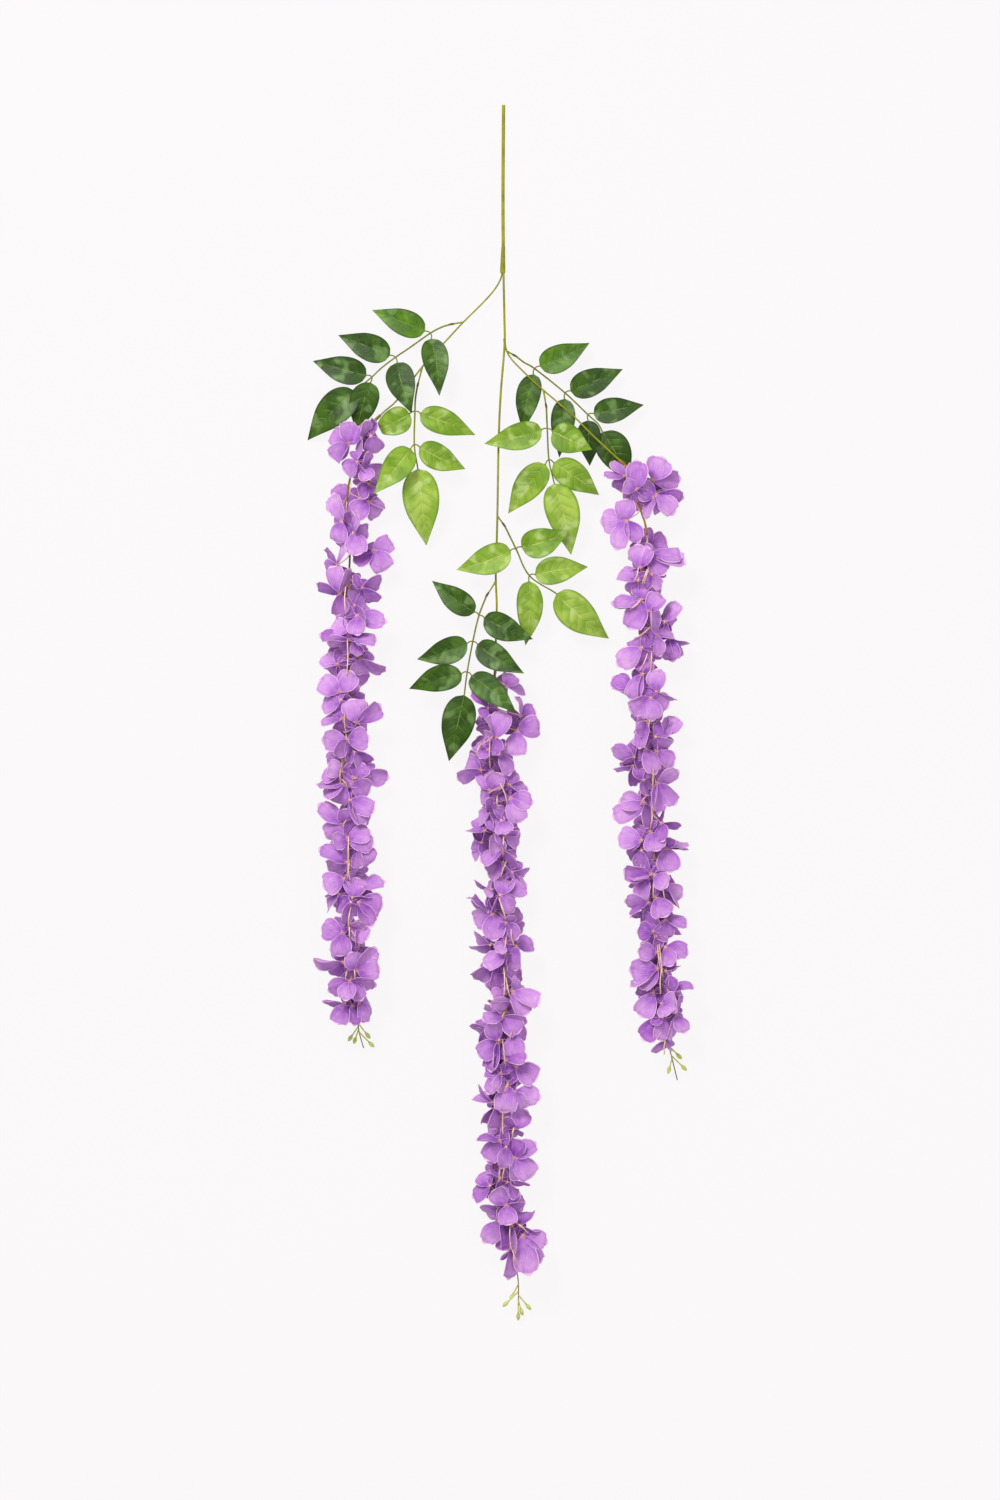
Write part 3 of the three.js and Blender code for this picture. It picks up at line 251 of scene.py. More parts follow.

# %% Flowers of the strings
# A flower row is its middle, x and y, and then each petal that shows from above as (tip x, tip y, width, tone).
# A petal turned on its edge shows narrow. The tone is painted shade: tone 0 paints a petal in shade deep violet,
# tone 1 paints a lit one the palest lilac.
LEFT_FLOWERS = [
    (-135.5, 241.5, (-152, 251.5, 18, 0.5), (-138.5, 262.5, 16, 0.5), (-153, 229, 17, 0.6),
     (-146, 224.5, 7, 0.2)),
    (-124, 247, (-120.5, 262, 8, 0.3), (-129.5, 230, 8, 0.4), (-113.5, 262, 9, 0)),
    (-116, 248, (-111.5, 233.5, 19, 0.6)),
    (-122.5, 220, (-119.5, 234.5, 8, 0.5), (-106, 215.5, 17, 0.6), (-117, 206.5, 15, 0.6)),
    (-128, 224.5, (-140, 216, 17, 0.6), (-122.5, 211, 10, 0)),
    (-118, 205.5, (-128, 195, 14, 0)),
    (-118, 189.5, (-132.5, 178, 20, 0.4), (-105.5, 188.5, 13, 0.5), (-110.5, 177, 18, 0.6)),
    (-142, 171.5, (-148.5, 197.5, 14, 1), (-146.5, 151.5, 17, 0.7)),
    (-131.5, 161.5, (-125, 177, 8, 0.4), (-127, 140.5, 21, 0.7)),
    (-113.5, 145.5, (-96.5, 154.5, 18, 0.6), (-102, 127, 22, 0.6), (-132.5, 135.5, 16, 0)),
    (-146, 132, (-156.5, 146, 8, 0), (-141, 151.5, 6, 0.9)),
    (-144, 106.5, (-151, 132, 15, 0.9), (-135, 130, 5, 0.5), (-165.5, 114, 8, 0), (-146.5, 87, 14, 0.3)),
    (-124, 112, (-106, 118.5, 14, 0.2), (-110.5, 99.5, 14, 0.2), (-133, 122, 10, 0)),
    (-130.5, 96, (-130.5, 110, 12, 0.4), (-120.5, 79, 10, 0.4)),
    (-136, 72.5, (-152, 79.5, 18, 0.9)),
    (-128.5, 87, (-127, 68, 17, 0.6), (-101.5, 81.5, 18, 0.6)),
    (-135, 65, (-155.5, 62.5, 10, 0.5), (-163, 67, 9, 0), (-109, 65, 11, 0.5), (-120.5, 56, 8, 0)),
    (-132, 62, (-129.5, 50, 8, 0.5)),
    (-146, 43, (-160, 52.5, 17, 0.9)),
    (-125, 48, (-126, 34, 18, 0.6), (-101.5, 37.5, 9, 0.5)),
    (-144, 18.5, (-163, 29, 21, 0.8), (-131.5, 37, 20, 0.7)),
    (-143, 11, (-160, 4, 17, 0.6)),
    (-128.5, -9.5, (-132.5, 13, 23, 0.7), (-107, 7.5, 14, 0.2)),
    (-142, -6, (-161, -8.5, 11, 0.5)),
    (-137, -25, (-160, -25.5, 20, 0.7), (-149.5, -38, 13, 0.4), (-117.5, -23, 22, 0.6), (-138.5, -40, 9, 0)),
    (-130.5, -35.5, (-138, -50, 11, 0.5), (-125, -50, 13, 0.7), (-117, -45, 14, 0.2)),
    (-142, -53, (-156, -48, 17, 0.9), (-161, -58, 14, 0.5)),
    (-130.5, -59, (-141, -53, 11, 0.7)),
    (-122, -57, (-100.5, -58, 17, 0.5)),
    (-134, -64.5, (-117.5, -71, 20, 0.5)),
    (-140, -64, (-149, -81.5, 22, 0.4), (-165, -66, 9, 0.6), (-159, -76, 13, 0.6)),
    (-135, -79, (-112, -88, 18, 0.6), (-126, -99.5, 8, 0), (-121, -101, 13, 0.5)),
    (-140.5, -99.5, (-163.5, -82, 17, 0.6), (-156, -112, 20, 0.6), (-138.5, -85, 14, 0.2)),
    (-137, -113, (-115, -107.5, 16, 0.5), (-112.5, -120, 18, 0.6), (-150, -117, 17, 0.5)),
    (-128.5, -121, (-112.5, -134.5, 18, 0.5), (-122.5, -140, 11, 0.3)),
    (-137.5, -134.5, (-138.5, -119, 7, 0), (-164.5, -124, 15, 0.5), (-155.5, -140, 16, 0.7)),
    (-140, -149, (-159.5, -156, 21, 0.8), (-139, -163, 8, 0)),
    (-132.5, -166.5, (-129, -148.5, 21, 0.5), (-115, -165, 8, 0)),
    (-124, -157, (-103, -153.5, 13, 0.7)),
    (-127, -170.5, (-105, -175, 23, 0.5), (-114, -192, 16, 0.5)),
    (-134, -170.5, (-148, -174, 15, 0.3), (-141.5, -191, 11, 0.5)),
    (-145, -163, (-154, -178, 8, 0.4), (-155, -162.5, 4, 0)),
    (-135, -193, (-117.5, -203, 18, 0.6), (-122, -187, 10, 0.8)),
    (-141.5, -198, (-161, -193, 21, 0.6), (-143.5, -220, 20, 0.5)),
    (-127, -210, (-130.5, -196, 8, 0)),
    (-128.5, -232, (-134.5, -214.5, 17, 0.6), (-112, -209, 16, 0.5), (-107, -229, 23, 0.6)),
    (-141.5, -224.5, (-168.5, -219, 8, 0.8), (-153, -236, 18, 0)),
    (-135, -241, (-154, -251, 18, 0.4), (-138, -259.5, 17, 0.7), (-110.5, -244.5, 9, 0.6),
     (-124, -259, 13, 0.4)),
    (-139.5, -261.5, (-158.5, -259.5, 5, 0), (-146.5, -280.5, 18, 0.6), (-141, -270, 9, 0.1)),
    (-133, -264, (-132, -282, 9, 0)),
    (-127, -260.5, (-117.5, -277.5, 15, 0.5)),
]

RIGHT_FLOWERS = [
    (111.5, 212, (104, 227, 14, 0.6), (92.5, 212, 8, 0.5)),
    (122, 200, (123.5, 227, 20, 0.4), (110, 205, 15, 0.6)),
    (137.5, 209, (147, 230, 24, 0.7), (163, 211, 17, 0.4)),
    (140.5, 196.5, (124, 201, 20, 0.3), (165.5, 191, 13, 0), (157, 178, 17, 0.9), (145, 180, 12, 0.3)),
    (138, 194, (132.5, 172.5, 10, 0.8)),
    (113.5, 172.5, (111.5, 193, 20, 0.8), (90, 171.5, 23, 0.9), (105, 145, 17, 0.8), (125, 152.5, 17, 0.3)),
    (126, 130, (124, 151.5, 20, 0.9), (134, 149, 13, 0.4)),
    (136, 141, (147, 123, 20, 0.4), (164.5, 142.5, 13, 0.4), (167.5, 134, 13, 0.8)),
    (137, 124, (146, 112, 10, 0.5)),
    (124, 118.5, (106.5, 125, 15, 0.5)),
    (127, 101, (128, 118, 20, 0.5), (100, 96, 14, 0.6), (117, 73.5, 22, 0.4)),
    (133, 90.5, (144, 106, 18, 0.6)),
    (140.5, 69, (136, 96, 10, 0.8), (155, 70.5, 11, 0.4), (144, 50, 11, 0.6)),
    (148.5, 81.5, (160, 100, 14, 0.8)),
    (152, 67, (169, 61, 6, 0.3), (166, 52, 10, 0.4), (156, 45.5, 18, 0.5)),
    (127, 58, (105, 42, 20, 0.9)),
    (118, 20, (101.5, 32, 18, 0.2), (104.5, 21, 7, 0.9)),
    (128, 34.5, (117, 10, 15, 0.5), (128, 11, 8, 0)),
    (140.5, 18.5, (142, 40, 17, 0.8), (158.5, 11, 5, 0.7)),
    (135, 13, (114.5, 2, 16, 0.6), (151.5, 5, 20, 0.7), (136, -8.5, 20, 0.6)),
    (148.5, -20, (160, -4, 18, 0.9), (145, -5, 7, 0)),
    (131.5, -8.5, (126, -34, 13, 0.4), (121.5, -19, 11, 0.2)),
    (139.5, -22, (151, -32, 15, 0.7)),
    (120.5, -40, (99.5, -33, 15, 0.5), (119, -25, 9, 0), (112.5, -47, 10, 0.4)),
    (130.5, -32, (139.5, -56, 17, 0.7)),
    (140.5, -35.5, (155, -49, 15, 0.5)),
    (119.5, -48, (106, -52.5, 8, 0.5), (122.5, -65, 15, 0.2)),
    (128.5, -61, (127, -77, 9, 0.5), (132, -75, 7, 0)),
    (140.5, -63.5, (161, -53, 13, 0.7), (159.5, -82, 16, 0.6), (141.5, -91.5, 15, 0.4), (137, -86, 6, 0.9)),
    (130.5, -81.5, (107, -80, 18, 0.9), (100, -95, 19, 0.9), (132.5, -105, 10, 0.2)),
    (127, -115, (105.5, -111, 21, 0.8), (119, -121, 9, 0.4)),
    (135, -107.5, (141, -125, 20, 0.5)),
    (145, -99.5, (160, -105, 11, 0), (147.5, -89.5, 4, 0), (146.5, -116.5, 13, 0), (137, -107.5, 6, 0.9)),
    (150.5, -122, (167.5, -116.5, 5, 0.6), (166, -124, 4, 0.3), (154, -112, 11, 0), (152, -144.5, 22, 0.6)),
    (127, -124, (129, -142, 14, 0.5)),
    (135, -145.5, (110, -141, 16, 0.2), (116, -151, 7, 0.9)),
    (133, -149, (127, -169, 14, 0.5), (119.5, -159, 9, 0.2)),
    (138.5, -146, (151, -156, 17, 0.7)),
    (146.5, -158, (163.5, -166, 19, 0.8), (162, -175, 5, 0)),
    (139.5, -166, (149, -184, 21, 0.6)),
    (133, -170.5, (111.5, -170, 13, 0.6), (116, -180, 9, 0.2)),
    (128.5, -178, (141, -193.5, 16, 0.4), (120.5, -184, 7, 0.1)),
    (137, -196.5, (122.5, -196, 18, 0)),
    (148.5, -186, (169, -187.5, 12, 0.4), (146, -202, 20, 0.4), (158.5, -200, 14, 0.2)),
    (139.5, -201, (145, -211, 14, 0.5)),
    (140.5, -215.5, (123, -214, 17, 0.5), (133, -230, 13, 0.5)),
    (148.5, -211, (170, -216, 17, 0.5), (153, -228, 16, 0.5), (158, -221, 7, 0)),
    (141.5, -230, (115.5, -233, 23, 0.4), (115, -245, 6, 0.6), (126, -249, 17, 0.5)),
    (149, -232, (159.5, -229.5, 4, 0), (149, -246, 10, 0)),
    (151, -250, (158.5, -237.5, 13, 0.1), (165, -254, 12, 0.4), (175.5, -247.5, 8, 0.4)),
    (137.5, -251.5, (126, -274, 20, 0.8)),
    (145, -261.5, (159, -259.5, 20, 0.6), (151, -272, 16, 0.6), (143, -251, 14, 0.3)),
    (145, -274, (127, -294, 19, 0.1), (144, -295.5, 16, 0.7), (137, -281, 8, 0)),
    (158.5, -272, (166, -288.5, 15, 0.6), (162.5, -254, 6, 0), (151, -294.5, 8, 0.8)),
    (147.5, -294.5, (140.5, -306, 12, 0.3), (154.5, -301, 7, 0.4)),
]

CENTRE_FLOWERS = [
    (6.5, 23, (11.5, 34.5, 16, 0.5), (22, 22, 12, 0.3)),
    (-11, 4, (-25, 20, 9, 0.1), (-18, -3, 11, 0)),
    (19, -3, (13.5, 14.5, 6, 0.4)),
    (15.5, -16.5, (37, -10.5, 21, 0.6), (13.5, -40, 21, 0.9)),
    (-3.5, -23, (3.5, 2, 19, 0.6), (-12, -2, 9, 0.6), (-1, -38, 11, 0)),
    (0, -38, (8, -57.5, 13, 0.5)),
    (-11, -34, (-18, -41.5, 9, 0.2)),
    (-17, -52, (-30, -42.5, 17, 0.5), (-39, -60.5, 11, 0.5)),
    (-9, -70, (-14.5, -52, 18, 0.6), (0, -53.5, 18, 0.4), (-18, -77.5, 13, 0.4)),
    (8, -65, (26, -67.5, 11, 0.4)),
    (9, -77, (30, -81, 18, 0.6), (19, -100, 19, 0.9)),
    (-10, -90.5, (-19.5, -97, 13, 0.6), (-11, -76, 7, 0), (-8, -107.5, 8, 0)),
    (1, -97, (0, -84, 14, 0.6), (5.5, -109.5, 17, 0.7)),
    (-13.5, -106.5, (-28, -106.5, 9, 0.6), (-12, -115.5, 9, 0.5)),
    (-17, -117.5, (-24, -130, 12, 0.5), (-14.5, -129, 7, 0)),
    (-3.5, -107.5, (-4.5, -129.5, 15, 0.8), (2, -122, 7, 0)),
    (4.5, -110, (15.5, -119, 14, 0.6)),
    (2.5, -124, (-18.5, -134, 12, 0.6), (13, -140, 13, 0.1)),
    (2.5, -134.5, (-10, -148, 16, 0.4), (7, -150.5, 8, 0.7)),
    (11, -143.5, (24, -145.5, 12, 0.5)),
    (0, -164, (5, -149, 19, 0.6), (13.5, -178.5, 16, 0.5)),
    (6, -160, (25, -155, 19, 0.6)),
    (-8, -159, (-22, -155, 5, 0.2), (-13, -165, 10, 0.8)),
    (-11, -179.5, (-25, -167, 8, 0.5), (-30, -165, 3, 0)),
    (-6, -180.5, (-23.5, -188, 19, 0.7), (-5, -205.5, 21, 0.6), (-11.5, -166, 6, 0), (-2.5, -165, 6, 0)),
    (5.5, -188.5, (12.5, -181, 9, 0.5), (16, -203, 12, 0.5)),
    (-9, -209, (-23, -199, 8, 0.6), (-26, -212, 8, 0.6)),
    (4.5, -206.5, (-4, -215.5, 13, 0.7)),
    (14.5, -210, (29.5, -206, 17, 0.3), (16, -233, 13, 0.6)),
    (4.5, -216.5, (2.5, -232, 9, 0.5), (-14.5, -229, 17, 0.8)),
    (-7, -229, (-23.5, -238, 15, 0.6)),
    (-2, -227, (-5, -248, 12, 0)),
    (4, -234, (10, -245.5, 9, 0.3)),
    (11, -250.5, (18, -241, 12, 0.7), (27, -250, 12, 0.7), (36, -262, 15, 1), (22, -274, 16, 0.9)),
    (3.5, -252.5, (-8, -251.5, 11, 0.5)),
    (9, -260, (-9.5, -262, 15, 0.8), (-12, -257, 6, 0.3)),
    (2.5, -273, (18.5, -287, 20, 0.5), (25, -278, 11, 0.4), (-16, -275, 10, 0.5), (-15, -266, 8, 0.6)),
    (-1, -294, (-10, -277.5, 17, 0.4)),
    (-12, -284, (-24, -286, 13, 0.4)),
    (11, -288.5, (14.5, -309, 20, 0.6)),
    (-2, -295.5, (-20, -309, 19, 0.4), (-5.5, -321, 7, 0.9), (-11, -323, 11, 0.2)),
    (5.5, -312, (25, -308.5, 10, 0.2)),
    (14.5, -318, (34, -329, 22, 0.5), (3, -330, 19, 0.2)),
    (1, -324.5, (-11, -343, 13, 0.5), (-2, -340.5, 12, 0.6)),
    (7, -334.5, (4, -360.5, 22, 0.8)),
    (13, -341, (37, -346, 19, 0.8), (25, -354, 13, 0.7)),
    (-7, -350, (-20, -337, 5, 0), (-22.5, -346, 9, 0.8)),
    (-4, -354, (-13, -370.5, 13, 0.6), (-5.5, -375, 9, 0.3)),
    (12.5, -374, (23, -358, 19, 0.5), (6.5, -362, 9, 0)),
    (0, -384.5, (-21.5, -385, 6, 0.1), (-13, -402, 19, 0.4)),
    (5.5, -390, (1, -410, 15, 0.5), (4.5, -379.5, 11, 0.3)),
    (13.5, -400, (17, -382, 16, 0), (33, -387, 16, 0.5), (30, -418, 22, 1), (12.5, -423, 11, 0.6)),
    (0, -418, (-5.5, -410, 7, 0.1)),
    (7, -421.5, (26, -425, 7, 0.2), (19.5, -432, 9, 0.1)),
    (5.5, -442, (-6.5, -427, 18, 0.6), (11.5, -425, 20, 0.6), (8, -460.5, 18, 0.7), (20, -446, 12, 0.3)),
    (-9, -425, (-24.5, -437, 14, 0)),
    (-1, -445, (-15, -448.5, 16, 0.5), (-1.5, -458, 7, 0)),
    (0, -457, (-14, -477, 19, 0.7), (5, -484, 8, 0)),
    (18, -460.5, (27, -448.5, 12, 0.3), (34.5, -466.5, 6, 0.2)),
    (20.5, -469.5, (43, -476, 17, 0.6), (25, -506, 23, 0.7), (37, -494.5, 16, 0.7)),
    (11, -461, (12.5, -489, 8, 0.9)),
    (10, -482, (5.5, -510, 12, 0.3), (-1, -488.5, 6, 0.3)),
]

# %% Flower stalks that show
# Between the petals thin pink-gold stalks come into view, each as the two ends that show, [x, y, x, y].
LEFT_LOOPS = [
    (-138.5, 112, -138.5, 89.5), (-137, 65, -137.5, 34), (-139.5, -2, -138.5, -16.5), (-143, -50, -143, -63.5),
    (-142, -60, -137, -67), (-137.5, -96, -141, -104), (-136, -113, -137, -147), (-135, -134.5, -135, -149),
    (-134, -176, -136, -192), (-133, -196, -127, -208.5), (-135, -193, -135, -203), (-130.5, -231, -130.5, -240),
    (-137.5, -233, -138.5, -240),
]
RIGHT_LOOPS = [
    (124, 129, 120.5, 118.5), (133, 129, 129.5, 116.5), (131.5, 127.5, 128, 117), (126, 101, 116, 92),
    (134, 76, 124, 68), (132, 52, 126, 39), (136, 53.5, 135, 37.5), (134, -6, 132, -18.5),
    (137.5, -51, 137, -68), (136, -86, 135, -103), (132, -74, 126, -82.5), (137.5, -154.5, 137.5, -166),
    (146.5, -155, 147.5, -166), (141.5, -210, 144, -230), (145, -230, 144, -251.5), (143, -210, 146, -236),
    (148, -295, 147.5, -305.5),
]
CENTRE_LOOPS = [
    (-9, -26.5, -9, -48), (-7, -22, -18, -29.5), (-18, -29.5, -21.5, -37.5), (0, -63.5, 6.5, -81.5),
    (1, -67, -10, -72.5), (-2.5, -76, -2.5, -84), (3.5, -110, 2.5, -128), (5.5, -134.5, 1, -147),
    (-1, -167, 6.5, -190), (0, -169, 3.5, -181), (10, -194, 12.5, -208.5), (5.5, -203, 3.5, -214),
    (3.5, -230, 3.5, -254), (5.5, -239, 9, -255), (3.5, -269.5, 2, -275), (2.5, -295, 4.5, -314.5),
    (11, -286, 9, -293), (7, -332.5, 2.5, -341.5), (2.5, -360.5, 2.5, -377.5), (12.5, -373, 11.5, -380),
    (0, -410, -1, -421), (3.5, -410, 2, -420), (9, -458.5, 10, -482), (15.5, -458.5, 24.5, -466.5),
    (11.5, -483.5, 13.5, -495.5),
]

# %% Routes of the strings
# The rachis is the moulded stalk in the middle of a string. A bud row is its tip. Under gives y of the flowers on
# the string's lower side, and pressed y of those that are squeezed flat between string and surface.
STRINGS = {
    "left_raceme": {
        "wire": LEFT_BRANCH,
        "rachis": [
            (-112.5, 263, 20), (-124, 241, 20), (-134, 214, 20), (-137.5, 194, 20), (-137.5, 173, 20),
            (-135, 146, 20), (-137, 104, 20), (-137, 56, 20), (-135, 17, 20), (-138, -8, 20), (-142, -39, 20),
            (-143, -57, 20), (-135, -79, 20), (-136, -131, 20), (-134, -173, 20), (-134, -213, 20),
            (-129.5, -245, 18), (-128, -277, 14), (-127, -288, 11), (-123, -302.5, 7),
        ],
        "flowers": LEFT_FLOWERS,
        "loops": LEFT_LOOPS,
        "under": [160, 112, 88, 60, 36, 12, -14, -40, -66, -92, -118, -144, -170, -214, -240],
        "pressed": [190, 0, -200],
        "seed": 3,
        "buds": [(-137, -296.5, 6), (-132, -299, 4), (-117, -294, 9), (-113.5, -302, 5)],
    },
    "right_raceme": {
        "wire": RIGHT_BRANCH,
        "rachis": [
            (112, 223, 20), (113.5, 214, 20), (118, 204, 20), (127, 181, 20), (132, 162, 20), (131.5, 131, 20),
            (129.5, 101, 20), (134, 75, 20), (136, 37, 20), (131.5, 14, 20), (132.5, -25, 20), (137.5, -54, 20),
            (137, -89, 20), (134, -105, 20), (138.5, -126, 20), (138.5, -151, 20), (142, -211, 20), (145, -250, 20),
            (147, -273, 18), (149.5, -296, 14), (153, -304, 11), (160, -331.5, 5),
        ],
        "flowers": RIGHT_FLOWERS,
        "loops": RIGHT_LOOPS,
        "under": [196, 140, 112, 84, 58, 30, 4, -22, -48, -76, -104, -132, -160, -190, -216, -252, -272],
        "pressed": [150, -50, -230],
        "seed": 4,
        "buds": [(151.5, -326, 7), (164, -312.5, 9), (168.5, -323, 6)],
    },
    "centre_raceme": {
        "wire": CENTRE_STEM,
        "rachis": [
            (-4.2, 41.5, 20), (-8, 5, 20), (-9.5, -29, 20), (-9, -48, 20), (0.5, -65, 20), (1.5, -81, 20),
            (-4, -106, 20), (3.5, -123, 20), (4.5, -137, 20), (-5, -150, 20), (2.5, -180, 20), (5.5, -191, 20),
            (4.5, -241, 20), (3.5, -273, 20), (2.5, -303, 20), (7.5, -335, 20), (2.5, -365, 20), (1, -392, 20),
            (0, -417, 20), (11, -460, 20), (14, -496, 16), (16.5, -513.5, 12), (16.5, -548, 4),
        ],
        "flowers": CENTRE_FLOWERS,
        "loops": CENTRE_LOOPS,
        "under": [-10, -36, -84, -110, -136, -162, -190, -216, -270, -296, -322, -348, -374, -400, -444, -468],
        "pressed": [-60, -240, -420],
        "seed": 5,
        "buds": [(2.5, -536, 6), (9, -529.5, 8), (28, -539, 6), (20.5, -544, 5), (16.5, -548.5, 4)],
    },
}
print(sum(len(s["flowers"]) for s in STRINGS.values()), "flowers,",
      sum(len(s["leaflets"]) for s in SPRAYS.values()), "leaflets")

# %% [markdown]
# ## Materials
# Three finishes make the spray: a satin olive coating on the wires, waxed cloth leaflets with pressed veins, and
# matt petals cut from thin cloth whose colour runs from violet at the heart to lilac further out. The leaflets have
# a painted gleam and painted shade beside their veins, and the petals painted shade near the heart and in their
# tones.
# All patterns are made by nodes, at their real size, so they hold in every view. Mottles and clouds of dye read
# the place on the object. Veins, weave and fibres read how far across and along a leaflet or petal they lie, so
# they are bent with it.

# %% Short ways to wire nodes


def new_material(name):
    material = bpy.data.materials.new(name)
    material.use_nodes = True
    print("material", name)
    return material, material.node_tree, material.node_tree.nodes["Principled BSDF"]


def colour(r, g, b):
    """A colour given as it shows on a screen, 0 to 255, as the linear numbers that a shader takes."""
    shares = [c / 255 for c in (r, g, b)]
    return (*(s / 12.92 if s < 0.0404 else ((s + 0.055) / 1.055) ** 2.4 for s in shares), 1)


def feed(tree, socket, value):
    if isinstance(value, bpy.types.NodeSocket):
        tree.links.new(value, socket)
    else:
        socket.default_value = value


def calc(tree, operation, a, b=0.0):
    node = tree.nodes.new("ShaderNodeMath")
    node.operation = operation
    feed(tree, node.inputs[0], a)
    feed(tree, node.inputs[1], b)
    return node.outputs[0]


def ease(tree, value, low, high, start=0.0, end=1.0):
    """start where the value is low, end where it is high, with a soft change between."""
    node = tree.nodes.new("ShaderNodeMapRange")
    node.interpolation_type = "SMOOTHSTEP"
    feed(tree, node.inputs["Value"], value)
    for key, number in (("From Min", low), ("From Max", high), ("To Min", start), ("To Max", end)):
        node.inputs[key].default_value = number
    return node.outputs["Result"]


def blend(tree, share, first, second):
    node = tree.nodes.new("ShaderNodeMix")
    node.data_type = "RGBA"
    feed(tree, node.inputs["Factor"], share)
    feed(tree, node.inputs["A"], first)
    feed(tree, node.inputs["B"], second)
    return node.outputs["Result"]


def speckle(tree, vector, scale, detail=2.0):
    node = tree.nodes.new("ShaderNodeTexNoise")
    tree.links.new(vector, node.inputs["Vector"])
    node.inputs["Scale"].default_value = scale
    node.inputs["Detail"].default_value = detail
    return node.outputs["Fac"]


def across_and_along(tree):
    """The place on a leaflet or petal: across from 0 to 1, and along from root to tip."""
    uv = tree.nodes.new("ShaderNodeUVMap")
    uv.uv_map = "UVMap"
    parts = tree.nodes.new("ShaderNodeSeparateXYZ")
    tree.links.new(uv.outputs["UV"], parts.inputs["Vector"])
    return uv.outputs["UV"], parts.outputs["X"], parts.outputs["Y"]


def from_middle(tree, u):
    """0 along the middle of a leaflet or petal and 1 at its side edges."""
    return calc(tree, "ABSOLUTE", calc(tree, "SUBTRACT", calc(tree, "MULTIPLY", u, 2.0), 1.0))


def threads(tree, u, v, across, along):
    """The crossing threads of a cloth, with so many waves across a piece and along it."""
    return calc(tree, "MULTIPLY", calc(tree, "SINE", calc(tree, "MULTIPLY", u, across)),
                calc(tree, "SINE", calc(tree, "MULTIPLY", v, along)))


def own_number(tree, name):
    node = tree.nodes.new("ShaderNodeAttribute")
    node.attribute_name = name
    return node.outputs["Fac"]


def object_place(tree):
    return tree.nodes.new("ShaderNodeTexCoord").outputs["Object"]


def press(tree, shader, height, depth, strength):
    """Relief that is too fine for the mesh."""
    node = tree.nodes.new("ShaderNodeBump")
    node.inputs["Distance"].default_value = depth
    node.inputs["Strength"].default_value = strength
    tree.links.new(height, node.inputs["Height"])
    tree.links.new(node.outputs["Normal"], shader.inputs["Normal"])


# %% Wire coating and moulded stalks
MOTTLE_SCALE = 90
GRAIN_SCALE = 2500
GRAIN_DEPTH = 0.0001


def coated(name, base, streak, roughness):
    """A plastic skin, mottled between two close colours, with a fine grain."""
    material, tree, shader = new_material(name)
    place = object_place(tree)
    mottle = ease(tree, speckle(tree, place, MOTTLE_SCALE, 3), 0.35, 0.65)
    tree.links.new(blend(tree, mottle, colour(*base), colour(*streak)), shader.inputs["Base Color"])
    shader.inputs["Roughness"].default_value = roughness
    shader.inputs["Specular IOR Level"].default_value = 0.2
    press(tree, shader, speckle(tree, place, GRAIN_SCALE), GRAIN_DEPTH, 0.4)
    return material


olive = coated("olive_coating", (124, 126, 0), (148, 150, 6), 0.42)
swelling = coated("dark_swelling", (58, 66, 22), (92, 96, 30), 0.5)
leaf_stalk = coated("yellow_olive_stalk", (100, 110, 0), (124, 128, 8), 0.5)
gold = coated("pink_gold_stalk", (248, 218, 188), (220, 178, 134), 0.5)
rachis_plastic = coated("rachis_plastic", (120, 108, 14), (164, 122, 66), 0.5)
olive_rachis = coated("olive_rachis", (104, 106, 10), (140, 116, 40), 0.5)
pale_bud = coated("pale_bud", (214, 218, 132), (186, 194, 92), 0.5)
peach = coated("peach_heart", (214, 160, 144), (176, 122, 84), 0.6)

# %% Waxed cloth leaflets
# Broad pale patches of painted gleam stand for the wax catching the light where a leaf bends to it, and the cut edge
# is darker than the blade.
SIDE_VEINS = 7
VEIN_SWEEP = 0.16
SHADE_SCALE = 60
PAINTED_GLEAM_SCALE = 75
VEIN_DEPTH = 0.0003


